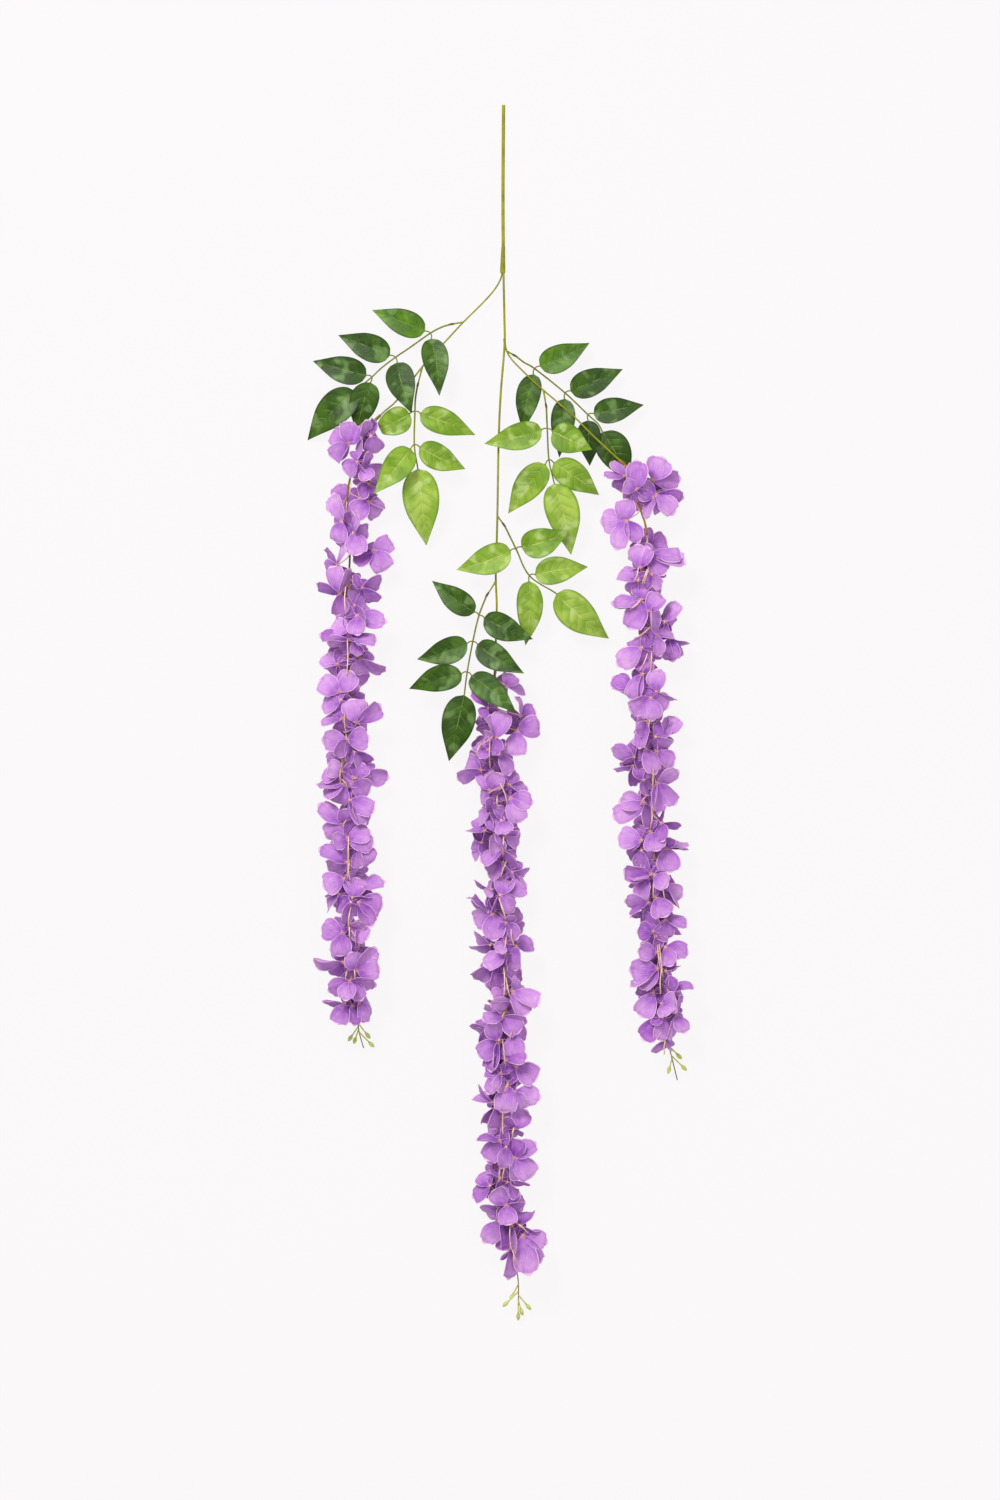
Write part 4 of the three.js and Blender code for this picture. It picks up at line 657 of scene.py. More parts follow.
def leaf_cloth(name, deep, plain, pale, painted_sheen, rib):
    """Waxed cloth in three greens, with a painted gleam, painted shade beside its veins, and its ribs. A leaf's own
    tone says how light it is.
    """
    material, tree, shader = new_material(name)
    uv, u, v = across_and_along(tree)
    place = object_place(tree)
    tone = own_number(tree, "tone")
    off_rib = from_middle(tree, u)
    # The side veins leave the midrib evenly and sweep forward. They fade out before the edge.
    sweep = calc(tree, "MULTIPLY", off_rib, VEIN_SWEEP)
    step = calc(tree, "MULTIPLY", calc(tree, "SUBTRACT", v, sweep), SIDE_VEINS)
    between = calc(tree, "FRACT", step)
    side = calc(tree, "ABSOLUTE", calc(tree, "SUBTRACT", between, 0.5))
    vein = calc(tree, "MULTIPLY", ease(tree, side, 0.42, 0.49), ease(tree, off_rib, 0.85, 0.2))
    worn = ease(tree, speckle(tree, place, 130, 1), 0.4, 0.62)
    midrib = calc(tree, "MULTIPLY", ease(tree, off_rib, 0.05, 0.02), worn)
    # The dye is uneven, painted gleam lightens the wax in patches, and painted shade darkens one side of each vein.
    cloth = blend(tree, tone, colour(*plain), colour(*pale))
    shade = ease(tree, speckle(tree, place, SHADE_SCALE), 0.36, 0.6, 0.0, 0.75)
    cloth = blend(tree, shade, cloth, blend(tree, tone, colour(*deep), colour(*plain)))
    # Painted highlight: pale patches where the wax would gleam in the light.
    painted_gleam = ease(tree, speckle(tree, place, PAINTED_GLEAM_SCALE, 1), 0.54, 0.68, 0.0, 0.6)
    cloth = blend(tree, painted_gleam, cloth, colour(*painted_sheen))
    # Painted shade: one side of each vein is darkened towards the deep green.
    painted_vein_shade = calc(tree, "MULTIPLY", ease(tree, between, 0.35, 0.95, 0.0, 0.24), ease(tree, off_rib, 0.95, 0.4))
    cloth = blend(tree, painted_vein_shade, cloth, colour(*deep))
    cloth = blend(tree, calc(tree, "MULTIPLY", vein, 0.3), cloth, colour(*rib))
    cloth = blend(tree, calc(tree, "MULTIPLY", midrib, 0.65), cloth, colour(*rib))
    cloth = blend(tree, ease(tree, off_rib, 0.8, 1.0, 0.0, 0.7), cloth, colour(*deep))
    tree.links.new(cloth, shader.inputs["Base Color"])
    tree.links.new(ease(tree, speckle(tree, uv, 3), 0.3, 0.7, 0.28, 0.42), shader.inputs["Roughness"])
    shader.inputs["Specular IOR Level"].default_value = 0.24
    grooves = calc(tree, "ADD", calc(tree, "MULTIPLY", vein, -1.0), calc(tree, "MULTIPLY", midrib, -1.5))
    weave = calc(tree, "MULTIPLY", threads(tree, u, v, 420.0, 880.0), 0.08)
    press(tree, shader, calc(tree, "ADD", grooves, weave), VEIN_DEPTH, 0.6)
    return material


dark_cloth = leaf_cloth("dark_leaf_cloth", deep=(28, 54, 4), plain=(60, 94, 22), pale=(96, 140, 26),
                        painted_sheen=(118, 150, 84), rib=(120, 150, 66))
light_cloth = leaf_cloth("light_leaf_cloth", deep=(80, 118, 10), plain=(118, 156, 32), pale=(166, 192, 80),
                         painted_sheen=(186, 206, 126), rib=(194, 208, 118))

# %% Petal cloth
# The cloth is dyed violet to lilac, with a thin pink line along its cut edge and faint pressed streaks that fan out
# from the root. Its deep violet near the heart is partly dye and partly painted shade, and a petal's tone is painted
# shade, low for a petal that lies in shade.
CLOUD_SCALE = 110
WEAVE_DEPTH = 0.0002
EDGE_PINK = (240, 200, 226)


def petal_cloth():
    material, tree, shader = new_material("petal_cloth")
    uv, u, v = across_and_along(tree)
    off_middle = from_middle(tree, u)
    tone = own_number(tree, "tone")
    # Painted shade: a petal's tone, low for one that lies in shade, picks darker colours.
    deep = blend(tree, tone, colour(114, 44, 154), colour(166, 100, 198))
    violet = blend(tree, tone, colour(156, 86, 186), colour(200, 142, 214))
    lilac = blend(tree, tone, colour(180, 114, 198), colour(220, 170, 222))
    cloud = ease(tree, speckle(tree, object_place(tree), CLOUD_SCALE), 0.35, 0.65, -0.12, 0.12)
    outward = calc(tree, "ADD", v, cloud)
    # Deep violet at the root is partly dye and partly painted shade near the heart.
    cloth = blend(tree, ease(tree, outward, 0.05, 0.45), deep, violet)
    cloth = blend(tree, ease(tree, outward, 0.4, 0.95), cloth, lilac)
    # Fibres are noise drawn out along the petal.
    stretch = tree.nodes.new("ShaderNodeMapping")
    stretch.inputs["Scale"].default_value = (12, 1.2, 1)
    tree.links.new(uv, stretch.inputs["Vector"])
    fibres = speckle(tree, stretch.outputs["Vector"], 2.5, 3)
    cloth = blend(tree, ease(tree, fibres, 0.5, 0.7, 0.0, 0.4), cloth, colour(226, 178, 230))
    cloth = blend(tree, ease(tree, fibres, 0.48, 0.3, 0.0, 0.35), cloth, colour(146, 80, 180))
    # Near the edge a painted shade darkens the cloth where it curls, and the cut itself is a pale line.
    outer = calc(tree, "MAXIMUM", off_middle, v)
    cloth = blend(tree, ease(tree, outer, 0.76, 0.9, 0.0, 0.3), cloth, deep)
    cloth = blend(tree, ease(tree, outer, 0.91, 0.96, 0.0, 0.8), cloth, colour(*EDGE_PINK))
    # A short pink ridge runs out from the peach root.
    ridge = calc(tree, "MULTIPLY", ease(tree, off_middle, 0.12, 0.02), ease(tree, v, 0.5, 0.15, 0.0, 0.35))
    cloth = blend(tree, ridge, cloth, colour(216, 156, 190))
    cloth = blend(tree, ease(tree, v, 0.08, 0.02, 0.0, 0.8), cloth, colour(214, 156, 150))
    tree.links.new(cloth, shader.inputs["Base Color"])
    shader.inputs["Roughness"].default_value = 0.75
    shader.inputs["Specular IOR Level"].default_value = 0.2
    shader.inputs["Sheen Weight"].default_value = 0.15
    shader.inputs["Sheen Roughness"].default_value = 0.5
    weave = calc(tree, "MULTIPLY", threads(tree, u, v, 400.0, 440.0), 0.15)
    press(tree, shader, calc(tree, "ADD", weave, ridge), WEAVE_DEPTH, 0.5)
    return material


petal_material = petal_cloth()

edge_material, tree, shader = new_material("petal_edge")
frayed = ease(tree, speckle(tree, object_place(tree), 300), 0.4, 0.6)
tree.links.new(blend(tree, frayed, colour(226, 172, 214), colour(206, 150, 200)), shader.inputs["Base Color"])
shader.inputs["Roughness"].default_value = 0.8

# %% [markdown]
# ## Wires and stalks
# A coated wire is a round rod that follows a bent line. It could be extruded ring by ring, but a path curve with a
# round bevel follows any line at once, and its radius may change from point to point. It is made a mesh at the end.
# Several rods can be splines of one curve.

# %% Smooth lines


def smooth(points, spacing):
    """A Catmull-Rom line through the points, with a new point at least every spacing millimetres."""
    knots = [Vector(p[:3]) for p in points]
    ends = [2 * knots[0] - knots[1]] + knots + [2 * knots[-1] - knots[-2]]
    line = []
    for a, b, c, d in zip(ends, ends[1:], ends[2:], ends[3:]):
        count = max(1, math.ceil((c - b).length / spacing))
        for k in range(count):
            t = k / count
            line.append(0.5 * ((2 * b) + (c - a) * t + (2 * a - 5 * b + 4 * c - d) * t**2
                               + (3 * b - a - 3 * c + d) * t**3))
    return line + [knots[-1]]


# %% Rods and finishes
MERGE_DISTANCE = 0.00001
SMOOTH_ANGLE = math.radians(50)


def dress(piece, *materials):
    piece.data.materials.clear()
    for material in materials:
        piece.data.materials.append(material)


def tubes(rods, sides, material):
    """Round rods as one mesh. Each rod is a list of points in millimetres and a radius for each point."""
    deselect()
    bpy.ops.curve.primitive_nurbs_path_add(location=(0, 0, 0))
    curve = bpy.context.object.data
    curve.splines.clear()
    for points, radii in rods:
        spline = curve.splines.new("POLY")
        spline.points.add(len(points) - 1)
        for knot, point, radius in zip(spline.points, points, radii):
            knot.co = (*(Vector(point) * MM), 1)
            knot.radius = radius
    curve.dimensions = "3D"
    curve.bevel_depth = MM
    curve.bevel_resolution = sides
    curve.use_fill_caps = True
    bpy.ops.object.convert(target="MESH")
    piece = bpy.context.object
    bpy.ops.object.mode_set(mode="EDIT")
    bpy.ops.mesh.select_all(action="SELECT")
    bpy.ops.mesh.remove_doubles(threshold=MERGE_DISTANCE)
    bpy.ops.mesh.normals_make_consistent(inside=False)
    bpy.ops.object.mode_set(mode="OBJECT")
    bpy.ops.object.shade_smooth_by_angle(angle=SMOOTH_ANGLE)
    dress(piece, material)
    return piece


# %% Stem and sleeve
# The sleeve is a long cone: it begins as a lip round the thick wire, and ends in a flat face above the fork.
STEM_RADIUS = 1.5
STEM_STEP = 8
SLEEVE = [
    (2.95, 420.5, 6.3), (2.9, 419.5, 6.4), (2.85, 417, 6.5), (2.6, 408, 6.7), (2.4, 397.1, 6.8), (2.4, 396.6, 6.8),
]
SLEEVE_RADII = [1.55, 1.75, 1.8, 2.1, 2.45, 2.25]

stem_line = smooth(UPPER_STEM, STEM_STEP)
stem = tubes([(stem_line, [STEM_RADIUS] * len(stem_line))], 4, olive)
finish_piece(stem, "upper_stem_wire", "stem", "upper_stem")
sleeve = tubes([(SLEEVE, SLEEVE_RADII)], 5, olive)
finish_piece(sleeve, "fork_sleeve_moulding", "stem", "fork_sleeve")

# %% [markdown]
# ## Forks
# Below the sleeve the left branch bends away, and further down the right one grows out of the middle wire. The short
# pegs that carry the leaf sprays are moulded on. A thick root that tapers quickly makes a branch look grown, where
# two crossing rods would only look laid together.

# %% Forks
CENTRE_RADIUS = 1.0
CENTRE_TAPER = 0.1
BRANCH_RADIUS = 0.75
BRANCH_STEP = 5
BRANCH_ROOT_RADIUS = 1.25
BRANCH_ROOT_TAPER = 0.05
PEG_SHOULDERS = (0.3, 0.85)
PEG_RADII = [1.0, 0.78, 0.68, 0.5]


def peg_rod(route):
    """The short moulded stub on a wire that carries a leaf spray."""
    root, middle = Vector(route[0]), Vector(route[1])
    return [root, *(root.lerp(middle, share) for share in PEG_SHOULDERS), middle], PEG_RADII


def pegs_on(wire):
    return [peg_rod(spray["route"]) for spray in SPRAYS.values() if spray["wire"] == wire]


left_line = smooth(LEFT_BRANCH, BRANCH_STEP)
left = tubes([(left_line, [BRANCH_RADIUS] * len(left_line))] + pegs_on("left_branch"), 3, olive)
finish_piece(left, "left_branch_wire", "stem", "left_branch")

centre_line = smooth(CENTRE_STEM, STEM_STEP)
centre_radii = [CENTRE_RADIUS - CENTRE_TAPER * k / len(centre_line) for k in range(len(centre_line))]
right_line = smooth(RIGHT_BRANCH, BRANCH_STEP)
right_top = RIGHT_BRANCH[0][1]
right_radii = [max(BRANCH_RADIUS, BRANCH_ROOT_RADIUS - BRANCH_ROOT_TAPER * (right_top - p.y)) for p in right_line]
fork = tubes([(centre_line, centre_radii), (right_line, right_radii)] + pegs_on("forked_stem"), 3, olive)
finish_piece(fork, "forked_stem_wire", "stem", "forked_stem")

# %% [markdown]
# ## Leaflets
# Each leaflet is a pressed piece of waxed cloth. We model one flat leaf from a grid: every row of the grid is scaled
# to the leaf's outline. Then it is copied 36 times, and each copy is arched to its place, with its veins pressed in.
# A grid keeps the weave and the veins straight along the leaf, which a cut outline filled with faces wouldn't.

# %% Model one leaf
LEAF_ROWS = 28
LEAF_COLUMNS = 12
LEAF_BELLY = 0.62
LEAF_ROUNDNESS = 0.8
LEAF_TIP_TAPER = 0.35
LEAF_TAPER_START = 0.55
LEAF_TAPER_CURVE = 1.3
NARROWEST_SHARE = 0.015
ROW_PLAY = 0.001


def leaf_share(u):
    """The width of a leaf at one place of its length, as a share of its full width."""
    toward_tip = max(0.0, (u - LEAF_TAPER_START) / (1 - LEAF_TAPER_START))
    taper = 1 - LEAF_TIP_TAPER * toward_tip**LEAF_TAPER_CURVE
    return max(max(math.sin(math.pi * u**LEAF_BELLY), 0.0) ** LEAF_ROUNDNESS * taper, NARROWEST_SHARE)


def select_where(test):
    """Selects the vertices of the edited mesh for which test(x, y) is true."""
    bpy.ops.mesh.select_all(action="DESELECT")
    bpy.ops.object.mode_set(mode="OBJECT")
    for vertex in bpy.context.object.data.vertices:
        vertex.select = test(vertex.co.x, vertex.co.y)
    bpy.ops.object.mode_set(mode="EDIT")


def shaped_grid(name, columns, shares):
    """A flat grid, 1 long, whose rows from root to tip are scaled to these shares of its width. It stays edited."""
    deselect()
    rows = len(shares) - 1
    bpy.ops.mesh.primitive_grid_add(x_subdivisions=columns, y_subdivisions=rows, size=1, location=(0, 0.5, 0))
    bpy.ops.object.transform_apply(location=True)
    unit = bpy.context.object
    unit.name = name
    bpy.ops.object.mode_set(mode="EDIT")
    bpy.context.scene.tool_settings.mesh_select_mode = (True, False, False)
    for row, share in enumerate(shares):
        select_where(lambda x, y: abs(y - row / rows) < ROW_PLAY)
        bpy.ops.transform.resize(value=(share, 1, 1), center_override=(0, row / rows, 0))
    print(name, len(unit.data.polygons), "faces")
    return unit


leaf_unit = shaped_grid("leaf_unit", LEAF_COLUMNS, [leaf_share(k / LEAF_ROWS) for k in range(LEAF_ROWS + 1)])
bpy.ops.object.mode_set(mode="OBJECT")

# %% Copy, place and join
LOWEST_CLOTH = 0.4


def positions(mesh):
    co = np.empty(len(mesh.vertices) * 3)
    mesh.vertices.foreach_get("co", co)
    return co.reshape(-1, 3)


def copy_of(unit, points, tone):
    """A copy of a unit piece with its own mesh, its points (millimetres) and its tone."""
    piece = unit.copy()
    piece.data = unit.data.copy()
    bpy.context.collection.objects.link(piece)
    piece.data.vertices.foreach_set("co", (points * MM).ravel())
    piece.data.attributes.new("tone", "FLOAT", "POINT").data.foreach_set("value", [tone] * len(points))
    return piece


def laid_out(origin, *steps):
    """Points that start at the origin and go so far each way."""
    return np.array(origin)[None, :] + sum(np.outer(far, way) for far, way in steps)


def on_surface(points, way):
    """What would sink into the surface is lifted on to it and pushed on along its way."""
    sunk = np.clip(LOWEST_CLOTH - points[:, 2], 0, None)
    return points + np.outer(sunk, (way.x, way.y, 1))


def joined(parts):
    deselect()
    for part in parts:
        part.select_set(True)
    bpy.context.view_layer.objects.active = parts[0]
    bpy.ops.object.join()
    return bpy.context.object


def thicken(piece, thickness, edge_slot=0):
    """Flat cloth gets its thickness (millimetres), and its cut edge the material in this slot."""
    wall = piece.modifiers.new("cloth", "SOLIDIFY")
    wall.thickness = thickness * MM
    wall.offset = 0
    wall.material_offset_rim = edge_slot
    bpy.ops.object.modifier_apply(modifier="cloth")
    bpy.ops.object.shade_smooth_by_angle(angle=SMOOTH_ANGLE)


# %% Bend a leaf to its place
LEAF_SWAY = 0.035
LEAF_TILT = 0.12
LEAF_ARCH = 0.3
EDGE_LIFT_CURVE = 1.5
PILLOW_HEIGHT = 0.35
MIDRIB_GROOVE = 0.5
MIDRIB_SHARPNESS = 8
CURLED_LEAF = ("left_light_spray", 1)
CURL_START = 0.55
CURL_STRETCH = 1.25
CURL_TURN = 2.6
LEAF_UNIT = positions(leaf_unit.data)
LEAF_WIDTHS = np.array([leaf_share(u) for u in LEAF_UNIT[:, 1]])


def bent_leaf(base, tip, width, lift, curled):
    """Arched from base to tip, its edges lifted, with pillows between its pressed veins."""
    u = LEAF_UNIT[:, 1]
    side = LEAF_UNIT[:, 0] / (0.5 * LEAF_WIDTHS)
    along = tip - base
    length = along.length
    along.normalize()
    across = UP.cross(along).normalized()
    sway = rng.uniform(-LEAF_SWAY, LEAF_SWAY) * length * 4 * u * (1 - u)
    tilt = rng.uniform(-LEAF_TILT, LEAF_TILT)
    forward = u * length
    height = LEAF_ARCH * length * u * (1 - u) + lift * LEAF_WIDTHS * np.abs(side) ** EDGE_LIFT_CURVE
    height = height + tilt * LEAF_UNIT[:, 0] * width
    if curled:
        # Its tip rolls over and back beneath it, so it is longer than it shows.
        turn = np.clip((u - CURL_START) / (1 - CURL_START), 0, 1) * CURL_TURN
        full = CURL_STRETCH * length
        radius = (1 - CURL_START) * full / CURL_TURN
        forward = np.where(u > CURL_START, CURL_START * full + radius * np.sin(turn), u * full)
        height = height - radius * (1 - np.cos(turn))
    pillow = np.abs(np.sin(math.pi * SIDE_VEINS * (u - VEIN_SWEEP * np.abs(side))))
    height = height + PILLOW_HEIGHT * pillow * (1 - np.abs(side) ** 4) * LEAF_WIDTHS
    height = height - MIDRIB_GROOVE * np.exp(-(side * MIDRIB_SHARPNESS) ** 2) * LEAF_WIDTHS
    points = laid_out(base, (forward, along), (LEAF_UNIT[:, 0] * width + sway, across),
                      (height, along.cross(across)))
    return on_surface(points, along)


# %% [markdown]
# ## Leaf sprays
# A spray is a bent stalk with leaflets in pairs and one at its end. Each leaflet has its own thin stalk, which
# leaves backwards and bends round. Where the spray is pushed on its peg there is a dark swelling.
# All leaflets of a spray are joined to one piece, and so are its stalks, because they have one material each.

# %% Stalks and leaflets of a spray
STALK_RADIUS = 0.8
STALK_TAPER = 0.2
STALK_STEP = 4
LEAF_STALK_RADIUS = 0.58
LEAF_STALK_LENGTH = 5.0
END_LEAF_STALK_LENGTH = 1.0
LEAF_STALK_STEP = 1.5
LEAF_STALK_BOW = (1.2, 0.5)
SUNK_ROOT = 1.5
COLLAR_LENGTH = 6.0


def spray_parts(name, spray):
    route = [Vector(p) for p in spray["route"]]
    first = (route[1] - route[0]).normalized()
    start = route[1] - first * (COLLAR_LENGTH / 2)
    end = route[1] + first * (COLLAR_LENGTH / 2)
    stalk_line = smooth([end - first * SUNK_ROOT] + route[2:], STALK_STEP)
    last_step = len(stalk_line) - 1
    rods = [(stalk_line, [STALK_RADIUS * (1 - STALK_TAPER * k / last_step) for k in range(last_step + 1)])]
    leaves = []
    for row, (origin, x, y, z, width, lift, tone) in enumerate(spray["leaflets"]):
        joint, tip = route[origin], Vector((x, y, z))
        reach = (tip - joint).normalized()
        at_end = origin == len(route) - 1
        base = joint + reach * (END_LEAF_STALK_LENGTH if at_end else LEAF_STALK_LENGTH)
        leaves.append(copy_of(leaf_unit, bent_leaf(base, tip, width, lift, (name, row) == CURLED_LEAF), tone))
        bow = joint.lerp(base, 0.5)
        if not at_end:
            back, rise = LEAF_STALK_BOW
            bow += UP * rise - (joint - route[origin - 1]).normalized() * back
        line = smooth([joint, bow, base + reach * SUNK_ROOT], LEAF_STALK_STEP)
        rods.append((line, [LEAF_STALK_RADIUS] * len(line)))
    return start, end, rods, leaves


# %% Build the six sprays
LEAF_THICKNESS = 0.5
SWELLING_STEPS = 8
SWELLING_END_RADIUS = 0.62
SWELLING_RISE = 0.42

for name, spray in SPRAYS.items():
    start, end, rods, leaves = spray_parts(name, spray)
    blades = joined(leaves)
    dress(blades, dark_cloth if spray["slot"] == "dark_leaf" else light_cloth)
    thicken(blades, LEAF_THICKNESS)
    finish_piece(blades, name + "_leaflets", spray["slot"], name)
    finish_piece(tubes(rods, 2, leaf_stalk), name + "_stalks", spray["slot"], name)
    shares = [k / SWELLING_STEPS for k in range(SWELLING_STEPS + 1)]
    radii = [SWELLING_END_RADIUS + SWELLING_RISE * math.sin(math.pi * share) for share in shares]
    knob = tubes([([start.lerp(end, share) for share in shares], radii)], 3, swelling)
    finish_piece(knob, name + "_swelling", spray["slot"], name)
deselect()
leaf_unit.select_set(True)
bpy.ops.object.delete()

# %% [markdown]
# ## Petals and hearts
# A petal is a rounded piece of thin cloth, narrow at its root, pressed into a shallow spoon. We model one flat petal
# from a grid in the same way as the leaf, and copy it for every flower with its own lift, curl and ruffle. There
# are 900 of them, so each is made from only 48 faces.
# The heart is the small peach bead in the middle of a flower, drawn out to a blunt point.

# %% Model one petal
PETAL_COLUMNS = 6
PETAL_SHARES = [0.2, 0.5, 0.76, 0.92, 1.0, 1.0, 0.95, 0.8, 0.48]
PETAL_TOP_DROP = 0.1
TOP_ROW = 0.95

petal_unit = shaped_grid("petal_unit", PETAL_COLUMNS, PETAL_SHARES)
for column in range(PETAL_COLUMNS + 1):
    side = column / PETAL_COLUMNS * 2 - 1
    select_where(lambda x, y: y > TOP_ROW and abs(x - side * PETAL_SHARES[-1] / 2) < ROW_PLAY)
    bpy.ops.transform.translate(value=(0, -PETAL_TOP_DROP * side**2, 0))
bpy.ops.object.mode_set(mode="OBJECT")
PETAL_UNIT = positions(petal_unit.data)

# %% Model one heart
HEART_WIDTH = 1.5
HEART_LENGTH = 2.4
HEART_SIZES = [0.45, 0.6, 0.6, 1.0]
POINT_START = 0.2
POINT_WIDTH = 0.55
POINT_STRETCH = 0.5

deselect()
bpy.ops.mesh.primitive_uv_sphere_add(segments=8, ring_count=6, radius=0.5, location=(0, 0, 0))
heart_unit = bpy.context.object
heart_unit.name = "heart_unit"
bpy.ops.object.mode_set(mode="EDIT")
bpy.ops.mesh.select_all(action="DESELECT")
bpy.ops.object.mode_set(mode="OBJECT")
for vertex in heart_unit.data.vertices:
    vertex.select = vertex.co.z > POINT_START
bpy.ops.object.mode_set(mode="EDIT")
bpy.ops.transform.resize(value=(POINT_WIDTH, POINT_WIDTH, 1), center_override=(0, 0, 0.3))
bpy.ops.transform.translate(value=(0, 0, POINT_STRETCH))
bpy.ops.object.mode_set(mode="OBJECT")
HEART_UNIT = positions(heart_unit.data)


def heart_points(centre, facing):
    turn = np.array(facing.to_track_quat("Z", "Y").to_matrix())
    size = rng.choice(HEART_SIZES) * np.array([HEART_WIDTH, HEART_WIDTH, HEART_LENGTH])
    return np.array(centre)[None, :] + (HEART_UNIT * size) @ turn.T


# %% [markdown]
# ## Where flowers and petals sit
# The flowers stand round their stalk like spokes, and the photograph shows them from one side only. So a flower's
# height comes from its distance to the stalk: its middle lies on a round column about it, and one in the middle of
# the string is the highest. In the same way all petals are cut to one size. One that shows shorter slopes, down at
# the string's sides, and one that shows narrower is rolled about its length.

# %% Where a flower sits
REACH = 17.0
REACH_PLAY = 2
LEAST_RISE = 4.0


def on_rachis(rachis, y):
    rows = [Vector(p) for p in rachis]
    for a, b in zip(rows, rows[1:]):
        if b.y <= y:
            break
    share = (a.y - y) / (a.y - b.y)
    return a.lerp(b, min(max(share, 0), 1))


def flower_middle(rachis, x, y):
    axis = on_rachis(rachis, y)
    aside = x - axis.x
    rise = math.sqrt(max(REACH**2 - aside**2, LEAST_RISE**2)) + rng.uniform(-REACH_PLAY, REACH_PLAY)
    return Vector((x, y, axis.z + rise)), aside / REACH


# %% How a petal stands
PETAL_LENGTH = 21.0
PETAL_WIDTH = 18.5
MOST_FORESHORTENED = 5
SIDE_SHARE = 0.3
DROOP = 0.3
SMALL_PETAL_WIDTH = 0.9
HIDDEN_SLOPE = (0.7, 1.25)
HIDDEN_LENGTH = 0.9 * PETAL_LENGTH


def heading(angle, slope):
    """The way and the side direction of a petal that points to this angle from above and falls by this slope."""
    way = Vector((math.cos(angle) * math.cos(slope), math.sin(angle) * math.cos(slope), -math.sin(slope)))
    return way, UP.cross(way).normalized()


def shown_petal(centre, side, tip_x, tip_y, width):
    """The way, side direction, length and width of a petal that shows with this tip and width."""
    way = Vector((tip_x - centre.x, tip_y - centre.y, 0))
    seen = way.length
    outward = max(way.x * side, 0) / seen
    slope = math.sqrt(max(min(PETAL_LENGTH, seen + MOST_FORESHORTENED) ** 2 - seen**2, 0))
    way.z = -slope if outward > SIDE_SHARE else slope * rng.choice([-1, 0.6])
    way.z -= DROOP * outward * seen
    length = way.length
    radial = way.normalized()
    level = UP.cross(radial).normalized()
    full = max(width, min(SMALL_PETAL_WIDTH * length, PETAL_WIDTH))
    roll = math.acos(min(width / full, 1)) * rng.choice([-1, 1])
    return radial, level * math.cos(roll) + radial.cross(level) * math.sin(roll), length, full


def hidden_petal(angle):
    """A petal that hangs down beneath the others."""
    return *heading(angle, rng.uniform(*HIDDEN_SLOPE)), HIDDEN_LENGTH, PETAL_WIDTH


def free_angles(used, count):
    """Directions in the widest gaps between those already used."""
    used = sorted(used)
    found = []
    for _ in range(count):
        gaps = [((b - a) % (2 * math.pi) or 2 * math.pi, a) for a, b in zip(used, used[1:] + used[:1])]
        gap, start = max(gaps)
        found.append(start + gap / 2)
        used = sorted(used + [(start + gap / 2) % (2 * math.pi)])
    return found


# %% Shape a petal
# No two petals are bent alike. These are the limits within which each is curled along its way, spooned across,
# turned up or down at its border, ruffled, twisted and cut wider or narrower towards its tip.
BENDS = {
    "curl": (-0.9, 0.35), "spoon": (-0.1, 0.16), "border": (-0.3, 0.5), "ruffle": (0.0, 0.05),
    "phase": (0.0, 6.28), "twist": (-0.25, 0.25), "spread": (-0.15, 0.2),
}
LOBES = 9
TIP_WAVE = 0.022
SIDE_WAVE = 0.06
BORDER_START = 0.75
HEART_GAP = 0.5


def petal_points(centre, radial, across, length, width, flat=None):
    """Points of a petal from the heart to its tip, arched along its way, with its edges bent and its tip lobed."""
    bend = {name: rng.uniform(*limits) for name, limits in BENDS.items()}
    x, y = PETAL_UNIT[:, 0], PETAL_UNIT[:, 1]
    way = np.linspace(0, 1, 17)
    slope = bend["curl"] * (way - 0.5)
    forward = np.interp(y, way, np.concatenate([[0], np.cumsum(np.cos(slope[:-1])) / 16]))
    rise = np.interp(y, way, np.concatenate([[0], np.cumsum(np.sin(slope[:-1])) / 16]))
    forward = forward - TIP_WAVE * np.cos(LOBES * x + bend["phase"]) * y**6
    x = x * (1 + bend["spread"] * (y - 0.55)) * (1 + SIDE_WAVE * np.sin(LOBES * y + bend["phase"]) * y)
    border = np.clip(np.maximum(np.abs(2 * x), y) - BORDER_START, 0, 0.3)
    rise = (rise + bend["spoon"] * (2 * x) ** 2 * y + bend["ruffle"] * np.sin(LOBES * x + bend["phase"]) * y**2
            + bend["twist"] * x * y**2 + bend["border"] * border)
    points = laid_out(centre, (HEART_GAP + forward * (length - HEART_GAP), radial), (x * width, across),
                      (rise * length, radial.cross(across)))
    if flat is not None:
        points[:, 2] = flat
    return on_surface(points, radial)


# %% [markdown]
# ## Flower stalks
# A flower's thin stalk leaves the moulded stalk higher up, runs down beside it and bends out to the flower's back.
# Some arch over the petals, and these are the pale lines in the strings. Both are rods through a few points.

# %% Stalks
PEDICEL_DROP = 20
PEDICEL_RADIUS = 0.45
PEDICEL_END_RADII = [0.8, 1.1]
PEDICEL_STEP = 3
BESIDE_SHARE = 0.4
BESIDE_GAP = 2.2
LOOP_HEIGHT = 41.0
LOOP_FALL = 2
LOOP_RADIUS = 0.52
LOOP_STEP = 2.5
LOOP_TUCK = 1.5
LOOP_ROOT_DEPTH = 15
LOOP_END_DEPTH = 9


def flower_stalk(rachis, centre, facing):
    root = on_rachis(rachis, centre.y + PEDICEL_DROP)
    beside = on_rachis(rachis, centre.y + BESIDE_SHARE * PEDICEL_DROP)
    outward = (centre - on_rachis(rachis, centre.y)).normalized()
    beside = beside + outward * BESIDE_GAP
    line = smooth([root, root.lerp(beside, 0.5) + outward * 0.8, beside, centre - facing * 3, centre], PEDICEL_STEP)
    return line, [PEDICEL_RADIUS] * (len(line) - 2) + PEDICEL_END_RADII


